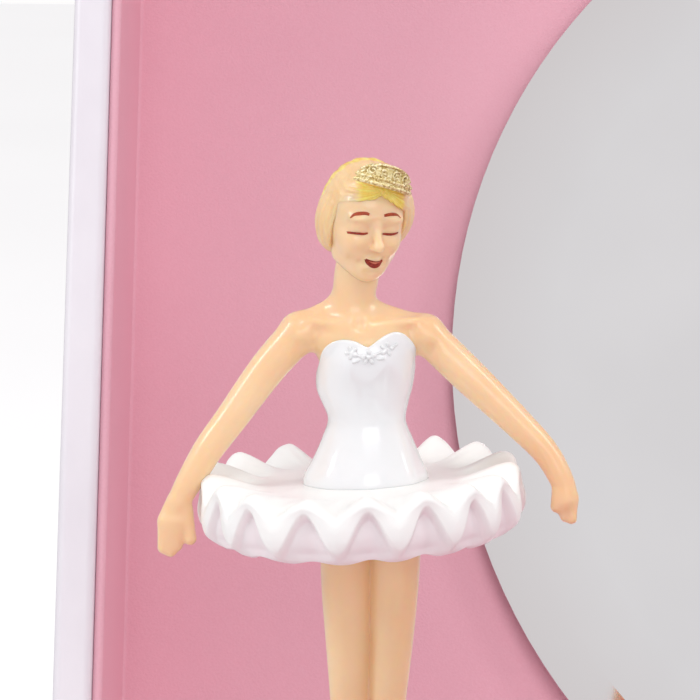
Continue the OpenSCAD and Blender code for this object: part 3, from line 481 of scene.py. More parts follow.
HEAD_TURN = turn(x=12.0, y=3.0, z=20.0)  # looks down and to its left, and leans a little
HEAD_AT = FEET + np.array([-0.40, -0.1, 51.92])


def skin_material():
    """Glossy cream plastic; the attribute low, 0 or 1, picks the tone of the upper part or of the legs."""
    f = Finish("doll_skin", subsurface_weight=0.5, subsurface_radius=(1.0, 0.42, 0.16), subsurface_scale=0.0009,
               specular_ior_level=0.5, coat_weight=0.45, coat_roughness=0.15)
    flow = f.noise(210.0)
    upper = f.tones(flow, lin(244, 202, 156), lin(248, 211, 168))
    legs = f.tones(flow, lin(243, 207, 160), lin(247, 215, 170))
    f.colour(f.mix(f.attribute("low"), upper, legs))
    f.orange_peel(1900.0, 0.3, 0.4, 0.04, 0.00004)
    return f.mat


def hair_material():
    """Moulded hair: cream like the skin, with yellow paint brushed on the fringe and the crown."""
    f = Finish("doll_hair", subsurface_weight=0.45, subsurface_radius=(1.0, 0.5, 0.2), subsurface_scale=0.0009,
               specular_ior_level=0.4, coat_weight=0.25, coat_roughness=0.2)
    brush = f.noise(1500.0, 4.0, 0.65, f.stretched(1.0, 1.0, 0.25))  # drawn out downwards
    strand = f.node("ShaderNodeTexNoise", {"W": f.attribute("strand"), "Scale": 13.0, "Detail": 2.0},
                    noise_dimensions="1D").outputs["Fac"]
    paint = f.attribute("paint")
    both = f.maths("ADD", brush, strand)
    edge = f.spread(f.maths("ADD", paint, f.maths("MULTIPLY", both, 0.6)), 0.0, 1.0, 0.8, 1.2)
    cream = f.tones(brush, lin(236, 194, 143), lin(244, 209, 161))
    yellow = f.tones(f.maths("MULTIPLY", both, 0.5), lin(238, 196, 76), lin(255, 233, 132), 0.36, 0.62)
    f.colour(f.mix(edge, cream, yellow))
    f.rough(f.spread(brush, 0.33, 0.5))
    f.bump(brush, 0.12, 0.00006)
    return f.mat


def paint_material(name, dark, light):
    """Brushed paint of the face."""
    f = Finish(name, specular_ior_level=0.4)
    stroke = f.noise(5200.0, 3.0, 0.6)
    f.colour(f.tones(stroke, dark, light, 0.35, 0.65))
    f.rough(f.spread(stroke, 0.35, 0.55))
    return f.mat


def white_plastic(name, dark, light, rough, coat, hollow=None):
    """Glossy white plastic; hollow is painted shade, a pinkish tint laid on the hollows and the underside that a
    per-vertex attribute marks.
    """
    f = Finish(name, subsurface_weight=0.3, subsurface_radius=(1.0, 0.9, 0.9), subsurface_scale=0.0006,
               specular_ior_level=0.5, coat_weight=coat, coat_roughness=0.06)
    tone = f.tones(f.noise(180.0), dark, light)
    # painted shade: the attribute's amount blends the hollow tint over the plastic's own tone
    f.colour(tone if hollow is None else f.mix(f.maths("MULTIPLY", f.attribute("hollow_shade"), 0.8), tone, hollow))
    f.orange_peel(1500.0, rough * 0.8, rough * 1.2, 0.04, 0.00003)
    return f.mat


def gold_glitter():
    """Gold paint with coarse glitter flakes that each face their own way."""
    f = Finish("gold_glitter", metallic=0.6, coat_weight=0.3, coat_roughness=0.15)
    flakes = f.node("ShaderNodeTexVoronoi", {"Vector": f.coords, "Scale": 9000.0, "Randomness": 1.0})
    tone = f.node("ShaderNodeSeparateColor", {"Color": flakes.outputs["Color"]}).outputs[0]
    f.colour(f.ramp(tone, [(0.1, lin(192, 166, 104)), (0.45, lin(226, 206, 146)), (0.92, lin(252, 244, 206))]))
    f.rough(f.spread(tone, 0.25, 0.55, 0.0, 1.0))
    f.bump(tone, 0.18, 0.00002)
    return f.mat


MATERIALS.update({
    "skin": skin_material(),
    "bodice_white": white_plastic("bodice_white", lin(237, 237, 240), lin(242, 242, 244), 0.14, 0.7),
    # the last colour is painted shade, a pinkish tint for the skirt's hollows and underside
    "tutu_white": white_plastic("tutu_white", lin(247, 247, 246), lin(251, 251, 249), 0.42, 0.08, lin(244, 233, 237)),
    "tiara_gold": gold_glitter(),
})
HAIR = hair_material()
BROWN_PAINT = paint_material("brow_paint", lin(150, 52, 24), lin(176, 76, 40))
LASH_PAINT = paint_material("lash_paint", lin(138, 38, 22), lin(168, 62, 38))
LIP_PAINT = paint_material("lip_paint", lin(130, 26, 12), lin(160, 50, 26))
LIP_LIGHT = paint_material("lip_light", lin(206, 112, 88), lin(226, 138, 110))


def make_body():
    """Neck, chest, shoulders, arms and hands. Returns their surface for the clothes to lie on."""
    clay = Clay((-14.2, -3.6, 30.6), (14.2, 3.6, 50.2), 0.1, origin=FEET)
    # chest and shoulders
    clay.add(ball((-0.1, 0.0, 43.6), (2.9, 1.9, 3.0)), 0.6)
    clay.add(limb((-4.1, 0.05, 45.15), 1.08, (3.4, 0.05, 45.15), 1.05, 0.95), 0.7)
    clay.add(ball((-0.2, -0.35, 44.6), (2.9, 1.75, 1.7)), 0.7)
    # neck, and the muscles that slope from it to the shoulders
    clay.sweep([(-0.95, 0.15, 45.6, 1.5), (-0.92, 0.1, 47.3, 1.32), (-0.75, 0.1, 48.7, 1.38),
                (-0.55, 0.2, 50.2, 1.34)], 0.7)
    clay.add(limb((-1.4, 0.35, 46.85), 0.85, (-4.3, 0.15, 45.5), 0.7), 0.7)
    clay.add(limb((-0.4, 0.35, 46.5), 0.85, (3.7, 0.15, 45.35), 0.7), 0.7)
    # collar bones and the hollow of the throat
    clay.add(limb((-1.1, -1.3, 45.75), 0.16, (-3.4, -0.8, 46.0), 0.16), 0.6)
    clay.add(limb((0.0, -1.35, 45.75), 0.16, (3.0, -0.8, 46.1), 0.16), 0.6)
    clay.cut(ball((-0.5, -1.86, 46.05), (0.3, 0.34, 0.3)), 0.4)
    # arms
    clay.sweep([(-4.3, 0.0, 45.1, 1.2), (-6.2, -0.2, 42.9, 1.13), (-8.45, -0.5, 39.75, 1.0), (-9.8, -0.7, 37.9, 0.93),
                (-10.9, -0.9, 36.0, 0.83), (-11.55, -1.0, 34.8, 0.72)], 0.5)
    clay.sweep([(3.55, 0.0, 45.15, 1.12), (5.9, -0.2, 42.95, 1.13), (9.3, -0.5, 39.75, 0.95),
                (11.1, -0.7, 37.9, 0.83), (12.1, -0.9, 36.2, 0.74), (12.4, -1.0, 35.2, 0.66)], 0.5)
    # creases at the armpits
    clay.cut(ball((-3.95, -1.55, 43.6), (0.28, 0.55, 1.0), turn(y=-14)), 0.5)
    clay.cut(ball((3.85, -1.55, 43.9), (0.28, 0.55, 0.9), turn(y=16)), 0.5)
    # left hand: palm, three fingers together and the thumb apart
    clay.add(ball((-11.8, -1.05, 33.65), (0.98, 0.6, 1.25), turn(y=8)), 0.5)
    for x, low, r in ((-12.55, 31.75, 0.4), (-12.1, 31.55, 0.42), (-11.68, 31.9, 0.38)):
        clay.add(limb((x + 0.12, -1.1, 33.4), r + 0.08, (x, -1.15, low), r - 0.04), 0.3)
    clay.add(limb((-11.15, -1.05, 34.1), 0.42, (-10.88, -1.2, 32.35), 0.4), 0.3)
    # right hand, half closed: palm, two fingers and the thumb
    clay.add(ball((12.3, -1.05, 34.9), (0.72, 0.55, 1.0), turn(y=-6)), 0.45)
    for x, low, r in ((12.72, 33.85, 0.38), (12.32, 33.95, 0.34)):
        clay.add(limb((x - 0.1, -1.1, 35.2), r + 0.1, (x, -1.15, low), r - 0.04), 0.14)
    clay.add(limb((11.85, -1.1, 35.6), 0.34, (11.72, -1.2, 34.6), 0.32), 0.22)
    obj, local = clay.skin("dancer_skin", MATERIALS["skin"])
    attribute(obj, "low", np.zeros(len(local)))
    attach(obj, "dancer")
    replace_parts(obj, "dancer_body")
    return surface_of(obj, local)


def to_side(side, points):
    """Points of a sweep on one side: -1 is the left and 1 the right."""
    return [(side * x, y, z, r) for x, y, z, r in points]


def make_legs():
    """Closed legs that end in painted ballet shoes on their points."""
    half = [(1.5, 0.1, 36.0, 1.62), (1.55, 0.0, 33.5, 1.64), (1.52, -0.05, 31.0, 1.6), (1.46, -0.05, 28.5, 1.53),
            (1.33, 0.0, 25.3, 1.38), (1.2, 0.0, 22.8, 1.27), (1.08, 0.0, 19.6, 1.13), (1.02, 0.12, 16.5, 1.16),
            (1.0, 0.25, 13.5, 1.2), (0.86, 0.2, 10.5, 0.98), (0.68, 0.05, 7.0, 0.72), (0.6, 0.0, 5.0, 0.66)]
    foot = [(0.56, 0.0, 5.0, 0.62), (0.5, -0.25, 3.4, 0.72), (0.42, -0.2, 1.6, 0.58), (0.34, 0.0, 0.45, 0.42)]
    outside = [(0.56, 0.05, 4.9, 0.68), (0.5, -0.25, 3.4, 0.79), (0.42, -0.2, 1.6, 0.65), (0.34, 0.0, 0.42, 0.5)]
    drift, drift_height = 0.3, 25  # the legs lean to the right up to this height above the toes
    clay = Clay((-3.8, -2.6, -4.4), (4.2, 2.6, 36.2), 0.1, origin=FEET)
    for side in (-1, 1):
        lean = [(drift * min(z / drift_height, 1) + x, y, z, r) for x, y, z, r in to_side(side, half)]
        one = Clay(clay.low, clay.low + (clay.count - 1) * clay.voxel, 0.1)
        one.sweep(lean, 0.5)
        one.add(ball((side * 0.9 + 0.22, -0.85, 19.8), (0.75, 0.55, 0.95)), 0.5)  # knee
        one.sweep(to_side(side, foot), 0.4)
        one.add(ball((side * 0.56, 0.62, 4.5), (0.42, 0.36, 0.7)), 0.3)  # heel
        clay.d = soft_min(clay.d, one.d, 0.12)
    # collar that the spring bears on and the peg in its coil
    clay.add(ball((0, 0, 0.1), (0.95, 0.9, 0.6)), 0.25)
    obj, local = clay.skin("dancer_legs_skin", MATERIALS["skin"])
    attribute(obj, "low", np.ones(len(local)))
    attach(obj, "dancer")
    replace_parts(obj, "dancer_legs")
    # shoes: a shell of white paint over the feet, cut away over the instep
    shoe = Clay((-1.9, -2.0, -0.2), (1.9, 1.9, 6.4), 0.08, origin=FEET)
    for side in (-1, 1):
        shoe.sweep(to_side(side, outside), 0.4)
        shoe.add(ball((side * 0.56, 0.62, 4.5), (0.49, 0.43, 0.77)), 0.3)
    for side in (-1, 1):
        shoe.cut(ball((side * 0.55, -1.0, 4.7), (0.62, 0.95, 1.5)), 0.12)
        shoe.cut(ball((side * 0.58, 0.1, 6.5), (1.3, 1.5, 1.1)), 0.12)
    obj, local = shoe.skin("ballet_shoes", MATERIALS["bodice_white"])
    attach(obj, "dancer")


def ribbon(name, surface, path, width, mat, lift, across=5):
    """Painted stroke: a strip along path, given as (x, z) in the head's own millimetres, that hugs the face."""
    path = np.array(path, float)
    t, fine = np.linspace(0, 1, len(path)), np.linspace(0, 1, 26)
    xs, zs = (curve_through(list(zip(t, column)), fine) for column in path.T)
    along = np.stack([np.gradient(xs), np.gradient(zs)], 1)
    along /= np.linalg.norm(along, axis=1)[:, None]
    normal = np.stack([-along[:, 1], along[:, 0]], 1)
    verts = []
    for i, s in enumerate(fine):
        for j in range(across):
            k = 2 * j / (across - 1) - 1
            x, z = np.array([xs[i], zs[i]]) + normal[i] * width(s) * k
            y = front_of(surface, x, z, verts[-1][1] if verts else -2.0)
            verts.append((x, y - lift * (1 - 0.75 * abs(k)), z))
    verts = HEAD_AT + np.array(verts) @ HEAD_TURN.T
    return mesh_object(name, verts, grid_faces(len(fine), across, closed=False, flip=True), mat)


def make_head():
    """Doll's head with closed lids and painted brows, lashes and mouth, and then its hair."""
    clay = Clay((-3.4, -3.8, -3.6), (3.8, 3.6, 4.2), 0.06, HEAD_TURN, HEAD_AT)
    clay.add(ball((0.1, 0.5, 0.6), (2.5, 2.85, 2.75)), 0.3)  # skull
    clay.add(ball((0, -0.8, 1.5), (1.95, 1.7, 1.75)), 0.6)  # forehead
    clay.add(ball((0.03, -0.72, -0.5), (2.0, 1.74, 2.38)), 0.5)  # face
    clay.add(ball((0.06, -1.55, -2.15), (1.08, 0.82, 0.72)), 0.6)  # chin
    clay.add(limb((-1.3, -0.4, -1.72), 0.52, (0, -1.5, -2.3), 0.62), 0.6)  # jaw
    clay.add(limb((1.55, -0.35, -1.7), 0.6, (0.1, -1.5, -2.3), 0.62), 0.6)
    clay.add(limb((0.1, 0.85, -1.2), 1.1, (0.1, 0.6, -2.6), 0.95), 0.6)  # top of the neck
    for s in (-1, 1):
        clay.add(ball((s * 1.08, -1.62, -0.5), (0.72, 0.78, 0.8)), 0.6)  # cheek
        clay.cut(ball((s * 1.02, -2.78, 0.62), (0.58, 0.4, 0.4)), 0.55)  # eye socket
        clay.add(ball((s * 1.02, -2.02, 0.5), (0.56, 0.42, 0.42)), 0.22)  # closed lid
        clay.add(ball((s * 1.0, -2.08, 1.1), (0.7, 0.36, 0.2)), 0.5)  # brow ridge
    clay.add(limb((-0.04, -2.3, 0.75), 0.2, (0.1, -2.98, -0.4), 0.28), 0.32)  # nose
    clay.add(ball((0.1, -2.9, -0.46), (0.31, 0.42, 0.28)), 0.2)
    for s in (-1, 1):
        clay.add(ball((0.08 + s * 0.24, -2.62, -0.6), (0.16, 0.24, 0.16)), 0.18)  # nostril wings
    clay.add(ball((0.05, -2.28, -1.4), (0.5, 0.3, 0.16)), 0.25)  # lips
    clay.add(ball((0.05, -2.2, -1.92), (0.42, 0.3, 0.17)), 0.25)
    clay.cut(ball((0.05, -2.56, -2.2), (0.5, 0.14, 0.1)), 0.25)
    for s in (-1, 1):
        clay.cut(ball((0.04 + s * 0.74, -2.36, -1.55), (0.14, 0.16, 0.2)), 0.22)  # corners of the mouth
    head, local = clay.skin("dancer_head", MATERIALS["skin"])
    attribute(head, "low", np.zeros(len(local)))
    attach(head, "dancer")

    surface = surface_of(head, local)

    def arch(s, end=0.03):
        """Half a wave over s from 0 to 1, held level near both ends."""
        return math.sin(math.pi * min(max(s, end), 1 - end))

    brow = lambda s: 0.025 + 0.07 * smoothstep(0.0, 0.55, s) * (1 - 0.25 * smoothstep(0.85, 1.0, s))
    lash = lambda s: 0.03 + 0.055 * arch(s, 0.05) ** 0.4
    strokes = [
        ("brow_left", [(-1.72, 1.14), (-1.5, 1.35), (-1.22, 1.47), (-0.88, 1.54), (-0.64, 1.5)], brow, BROWN_PAINT),
        ("brow_right", [(1.48, 1.26), (1.24, 1.45), (0.92, 1.52), (0.6, 1.52), (0.3, 1.46)], brow, BROWN_PAINT),
        ("lashes_left", [(-1.7, 0.12), (-1.45, 0.2), (-1.12, 0.23), (-0.8, 0.22), (-0.54, 0.27)], lash, LASH_PAINT),
        ("lashes_right", [(1.5, 0.3), (1.26, 0.26), (0.98, 0.23), (0.68, 0.23), (0.38, 0.28)], lash, LASH_PAINT),
    ]
    for name, path, width, mat in strokes:
        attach(ribbon(name, surface, path, width, mat, 0.035), "dancer")
    # mouth: a dark stroke and a lighter one on it
    smile = lambda s: 0.235 * arch(s) ** 0.5
    lips = [(-0.45, -1.4), (-0.19, -1.59), (0.14, -1.7), (0.47, -1.66), (0.75, -1.54)]
    mouth = ribbon("mouth", surface, lips, smile, LIP_PAINT, 0.025, 9)
    gleam = ribbon("mouth_light", surface, [(-0.26, -1.5), (0.14, -1.62), (0.54, -1.58)],
                   lambda s: 0.06 * arch(s), LIP_LIGHT, 0.05)
    for piece in (mouth, gleam):
        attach(piece, "dancer")
    make_hair()


# Half the width of the face opening in the hair, by height, left and right of the parting, in head millimetres
FRINGE_LEFT = [(-4.0, 1.8), (-1.6, 1.88), (-0.6, 2.05), (0.4, 2.1), (0.95, 1.98), (1.35, 1.82), (1.65, 1.58),
               (1.9, 1.26), (2.12, 0.88), (2.32, 0.46), (2.48, 0.1), (2.64, -0.15), (3.4, -1.0)]
FRINGE_RIGHT = [(-4.0, 1.85), (-1.0, 1.98), (0.2, 2.12), (1.0, 2.05), (1.45, 1.85), (1.75, 1.45), (2.05, 0.98),
                (2.35, 0.5), (2.52, 0.18), (2.7, -0.05), (3.4, -0.8)]


def make_hair():
    """Moulded hair: fringe with a parting, a wing over each ear, nape and bun."""
    clay = Clay((-3.8, -3.6, -3.4), (4.4, 5.0, 4.6), 0.06, HEAD_TURN, HEAD_AT)
    clay.add(ball((0.22, 0.55, 0.8), (2.72, 3.0, 3.2)), 0.3)
    clay.add(ball((0.25, -0.62, 1.75), (2.05, 2.0, 2.1)), 0.45)  # fringe
    clay.add(ball((-1.62, 0.5, -0.05), (1.15, 1.6, 1.85)), 0.5)  # wing over the left ear
    clay.add(ball((2.05, 0.6, 0.65), (1.3, 1.65, 1.9)), 0.5)  # wing over the right ear
    clay.add(ball((0.35, 1.5, -0.35), (1.6, 1.45, 1.55)), 0.6)  # nape
    clay.add(ball((0.0, 2.85, 1.2), (1.5, 1.2, 1.4)), 0.15)  # bun

    def opening(x, y, z):
        left = -x - curve_through(FRINGE_LEFT, z)
        right = x - curve_through(FRINGE_RIGHT, z)
        return np.maximum(np.maximum(left, right) * 0.85, y + 0.35)

    clay.cut((np.array([-3.0, -3.6, -3.4]), np.array([3.0, 0.2, 3.6]), opening), 0.45)
    clay.cut(limb((0.08, -2.75, 2.5), 0.1, (0.15, -1.9, 3.5), 0.06), 0.16)  # parting
    # strands: grooves that run down the wings and back over the crown
    axes = [low + clay.voxel * np.arange(count) for low, count in zip(clay.low, clay.count)]
    x, y, z = np.meshgrid(*axes, indexing="ij", sparse=True)
    around = np.arctan2(x - 0.1, -(y - 0.9))
    over = np.arctan2(x - 0.1, z + 1.2)
    crown = smoothstep(1.0, 2.6, z)
    wave = (np.sin(around * 30 + 0.9 * z) + 0.5 * np.sin(around * 53 - 1.4 * z + 1.0)) * (1 - crown)
    wave = wave + (np.sin(over * 34 + 0.7 * y) + 0.5 * np.sin(over * 61 - 0.9 * y)) * crown
    fan = np.arctan2(x - 0.3, 3.0 - z)  # the fringe sweeps out from the parting
    front = smoothstep(-0.6, -1.3, y) * smoothstep(1.2, 1.8, z)
    wave = wave * (1 - front) + 1.5 * (np.sin(fan * 24) + 0.6 * np.sin(fan * 43 + 1.0)) * front
    clay.d += (0.022 * wave).astype(np.float32)
    hair, local = clay.skin("dancer_hair", HAIR, rounds=1)
    hx, hy, hz = local.T
    fringe = (1 - smoothstep(0.6, 1.7, -hx)) * (1 - smoothstep(1.3, 2.0, hx)) * smoothstep(1.3, 1.7, hz)
    fringe = fringe * (1 - smoothstep(3.0, 3.5, hz)) * (1 - smoothstep(-1.0, -0.4, hy))
    top = smoothstep(0.1, 1.0, hy + 0.25 * hx) * smoothstep(0.9, 2.1, hz)
    attribute(hair, "paint", np.clip(np.maximum(fringe, top), 0, 1))
    swept, combed = np.arctan2(hx - 0.3, 3.0 - hz), np.arctan2(hx - 0.1, hz + 1.2) + 4.0
    attribute(hair, "strand", np.where(hy < -0.6, swept, combed))
    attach(hair, "dancer")


BODY = make_body()
make_legs()
make_head()


# ---- dancer's clothes

# Bodice profiles by height above the toes, in millimetres
BODICE_HALF = [(35.6, 3.86), (36.3, 3.84), (37.2, 3.42), (38.6, 2.82), (39.8, 2.42), (40.9, 2.7), (41.6, 2.93),
               (42.9, 3.05), (43.9, 3.02), (45.8, 2.9)]
BODICE_MID = [(35.6, -0.08), (37.2, 0.02), (39.8, -0.02), (41.5, -0.2), (42.9, -0.12), (44.0, -0.03), (45.8, -0.02)]
BODICE_FRONT = [(35.6, 3.1), (36.4, 3.0), (38.2, 2.4), (39.8, 2.02), (41.4, 2.2), (42.8, 2.5), (44.2, 2.5),
                (45.8, 2.2)]
BODICE_BACK = [(35.6, 2.9), (37.0, 2.5), (39.8, 1.8), (42.5, 1.98), (45.8, 1.8)]
# Top edge by angle from the front, in degrees, positive to the right of the picture
NECKLINE = [(-180, 43.4), (-130, 43.0), (-98, 42.6), (-80, 42.9), (-68, 43.7), (-56, 44.4), (-42, 44.85),
            (-27, 44.97), (-13, 44.85), (-4, 44.64), (0, 44.58), (4, 44.68), (13, 45.0), (26, 45.34), (42, 45.42),
            (56, 45.1), (68, 44.4), (80, 43.5), (96, 43.0), (130, 43.0), (180, 43.4)]
SKIRT_TILT = 3.2  # degrees, higher on the right
SKIRT_SLOPE = math.tan(math.radians(SKIRT_TILT))


def make_bodice(body):
    """Fitted bodice, flared over the hips, with two lobes at the neckline and a thick moulded edge."""
    low, hip_radius, cols, rows = 35.9, 3.7, 180, 72
    over_body, most = 0.14, 0.55  # how far the cloth lies over the body, and the most it moves out for that
    angle = np.linspace(-180, 180, cols, endpoint=False)
    top = curve_through(NECKLINE, angle)
    t = np.linspace(0, 1, rows)[:, None]
    hem = low + SKIRT_SLOPE * hip_radius * np.sin(np.radians(angle))  # follows the skirt's tilt
    z = hem + t * (top - hem)[None, :]
    # lower lip, then the body, then the rounded upper edge that turns in: each lip by its rise and its inset
    lower, upper = (-0.02, 0.25), ((0.07, 0.05), (0.08, 0.16), (-0.12, 0.4))
    z = np.concatenate([z[:1] + lower[0], z] + [z[-1:] + rise for rise, _ in upper], 0)
    inset = np.array([lower[1]] + [0.0] * rows + [turned_in for _, turned_in in upper])[:, None]
    a = np.radians(angle)[None, :] + 0.0 * z
    half, mid, front, back = (curve_through(profile, z.ravel()).reshape(z.shape)
                              for profile in (BODICE_HALF, BODICE_MID, BODICE_FRONT, BODICE_BACK))
    depth = np.where(np.cos(a) > 0, front, back)
    x = half * np.sin(a)
    for side in (-1, 1):  # bust
        swell = np.exp(-((x - side * 1.35) / 0.85) ** 2 - ((z - 43.7 - 0.15 * side) / 1.0) ** 2)
        depth = depth + 0.3 * swell * (np.cos(a) > 0)
    y = -depth * np.cos(a)
    # shallow flutes of the moulding that fade in over the hips
    ripple = 1 + 0.012 * np.sin(a * 9 + 0.8) * smoothstep(39.5, 36.5, z)
    x, y = x * ripple, y * ripple
    # wherever the body stands further out, the cloth lies over it
    reach = np.hypot(x, y)
    push = np.zeros_like(reach)
    for i, j in np.ndindex(reach.shape):
        way = Vector((x[i, j], y[i, j], 0)).normalized()
        hit = body.ray_cast(Vector((mid[i, j], 0, min(z[i, j], top[j]))), way, 6.0)[3]
        if hit is not None:
            push[i, j] = min(max(hit + over_body - reach[i, j], 0.0), most)
    smoothings = 3
    for _ in range(smoothings):
        push = (push + np.roll(push, 1, 1) + np.roll(push, -1, 1)) / 3
    scale = (reach + push - inset) / reach
    verts = np.stack([mid + x * scale, y * scale, z], -1).reshape(-1, 3)
    obj = mesh_object("bodice_shell", FEET + verts, grid_faces(z.shape[0], cols), MATERIALS["bodice_white"])
    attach(obj, "dancer")
    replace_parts(obj, "bodice")

    # raised sprig of flowers on the neckline
    sprig = Clay((-2.2, -3.6, 43.2), (2.6, -1.2, 45.6), 0.05, origin=FEET)
    cloth = surface_of(obj, verts)

    def on_cloth(px, pz, out=0.0):
        return (px, front_of(cloth, px, pz, -2.4) - out, pz)

    petals = 5
    for cx, cz, r, start in ((0.05, 44.05, 0.32, 90), (-1.0, 44.3, 0.26, 40), (1.15, 44.55, 0.28, 10)):
        sprig.add(ball(on_cloth(cx, cz, 0.04), (0.13, 0.1, 0.13)), 0.04)
        for k in range(petals):
            turned = math.radians(start + 360 * k / petals)
            sprig.add(ball(on_cloth(cx + r * math.cos(turned), cz + r * math.sin(turned), 0.0), (0.19, 0.09, 0.14),
                           turn(y=-math.degrees(turned))), 0.08)
    leaves = ((-0.7, 44.25, -0.3, 44.0), (0.4, 44.2, 0.85, 44.4), (1.45, 44.6, 1.75, 44.8),
              (-0.55, 43.85, -0.9, 43.75), (0.6, 43.95, 0.95, 44.0))
    for ax, az, bx, bz in leaves:
        sprig.add(limb(on_cloth(ax, az), 0.07, on_cloth(bx, bz), 0.09), 0.08)
    obj, _ = sprig.skin("bodice_sprig", MATERIALS["bodice_white"], rounds=2)
    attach(obj, "dancer")


# Where the skirt's edge waves up, in degrees from the front, anticlockwise from above
RUFFLES = [2.5, 23.3, 43.6, 61.5, 82.0, 103.0, 126.4, 148.7, 169.0, 189.0, 209.6, 236.2, 256.5, 277.0, 298.0, 316.5,
           340.0]
SKIRT_MID = np.array([-0.37, 0.0, 36.0])
# The skirt's side by height from its middle: how far out it stands
SKIRT_SIDE = [(-3.6, 8.3), (-3.3, 9.1), (-2.95, 9.62), (-2.5, 9.95), (-1.9, 10.12), (-1.2, 10.12), (-0.6, 10.05),
              (0.0, 9.98), (0.9, 9.95)]
SHOULDER = 0.55  # how far the folded edge is rounded


def ruffle_phase(angle):
    """Which part of its ruffle an angle is at: 0 where the edge waves up, -1 and 1 where it comes down."""
    marks = np.array([RUFFLES[-1] - 360] + RUFFLES + [RUFFLES[0] + 360])
    i = np.searchsorted(marks, angle, side="right") - 1
    t = (angle - marks[i]) / (marks[i + 1] - marks[i])
    return np.where(t < 0.5, 2 * t, 2 * t - 2)


def place_skirt(r, angle, z):
    """Points of the skirt from radius, angle from the front and height over its middle."""
    a = np.radians(angle)
    p = np.stack([r * np.sin(a), -r * np.cos(a), z], -1).reshape(-1, 3)
    return FEET + SKIRT_MID + p @ turn(y=-SKIRT_TILT).T


def make_tutu():
    """Stiff moulded skirt: a waved top whose edge folds down in points, with shallow hollows between the folds."""
    cols = 720
    angle = np.linspace(0, 360, cols, endpoint=False)
    phase = ruffle_phase(angle)
    u = np.abs(phase)
    wave = 1 - 0.7 * u**1.9 - 0.65 * (1 - np.cos(math.pi * u))
    wave = wave * (1 - 0.35 * np.clip(np.cos(np.radians(angle)), 0, 1))  # flatter in front
    slow = np.sin(np.radians(3 * angle + 40)) + 0.7 * np.sin(np.radians(5 * angle + 10))
    # each row keeps a radius, a height and how much painted shade it takes
    r_rows, z_rows, hollow_shade = [], [], []

    def row(r, z, hollow=0.0):
        r_rows.append(np.broadcast_to(r, cols).astype(float))
        z_rows.append(np.broadcast_to(z, cols).astype(float))
        hollow_shade.append(np.broadcast_to(hollow, cols).astype(float))

    # plate with fine ripples, which begins to wave half way out
    pleat = 0.03 * np.sin(np.radians(angle * 51)) + 0.02 * np.sin(np.radians(angle * 83 + 30))
    waist, plate = 2.2, 9.2  # radii between which the top is a plate
    plate_rows, shoulder_rows, side_rows, under_rows = 22, 6, 60, 5
    for r in np.linspace(waist, plate, plate_rows):
        k = float(smoothstep(5.6, 9.6, r)) * 1.12
        dips = pleat * min(1.5 * k, 1) * (1 - 0.5 * k)
        row(r + 0.02 * slow * k, -0.08 + 0.28 * k + 0.68 * k * wave + dips + 0.05 * slow * k)
    rim = z_rows[-1]
    start = rim - SHOULDER
    for k in range(1, shoulder_rows + 1):  # rounded shoulder
        turned = math.radians(90 * k / shoulder_rows)
        side = curve_through(SKIRT_SIDE, start)
        row(plate + (side - plate) * math.sin(turned), rim - SHOULDER * (1 - math.cos(turned)))
    edge = -0.12 - 1.22 * (1 - np.cos(math.pi * u)) + 0.05 * slow  # end of the folded top
    floor = -3.3 + 0.17 * np.cos(math.pi * u) + 0.04 * slow
    lean = 0.12 * np.sin(math.pi * phase)  # folds lie a little to one side
    for k in range(1, side_rows + 1):
        z = start + (floor - start) * k / side_rows
        hollow = smoothstep(-0.12, 0.62, edge - z)
        depth = (0.6 * (1 - u**2.0) + 0.08) * smoothstep(-3.6, -2.6, z) + lean * (1 - u)
        bulge = 0.14 * (1 - hollow) * wave * smoothstep(-0.2, 0.5, start - z)  # lobes stand out
        # the last value is painted shade, strongest in the middle of each hollow
        row(curve_through(SKIRT_SIDE, z) - hollow * depth - bulge, z, hollow * (1 - 0.5 * u))
    last_r, last_z = r_rows[-1], z_rows[-1]
    # under the edge and inward the rows take full painted shade
    for k in range(1, under_rows + 1):  # under the edge, then inward to the legs
        turned = math.radians(90 * k / under_rows)
        row(last_r - 0.5 * math.sin(turned),
            last_z - 0.16 * math.sin(turned) + 0.12 * (1 - math.cos(turned)), 1.0)
    under_r, under_z = r_rows[-1], z_rows[-1]
    hole = 1.3
    for t, z in ((0.2, -3.05), (0.4, -2.75), (0.6, -2.4), (0.8, -2.1), (1.0, -1.95)):
        row(under_r + (hole - under_r) * t, under_z + (z - under_z) * min(2.2 * t, 1.0), 1.0)
    verts = place_skirt(np.array(r_rows), np.broadcast_to(angle, (len(r_rows), cols)), np.array(z_rows))
    skirt = mesh_object("tutu_ruffle", verts, grid_faces(len(r_rows), cols, flip=True), MATERIALS["tutu_white"])
    # painted shade for the material, per vertex
    attribute(skirt, "hollow_shade", np.array(hollow_shade).ravel())
    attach(skirt, "dancer")
    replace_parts(skirt, "tutu")


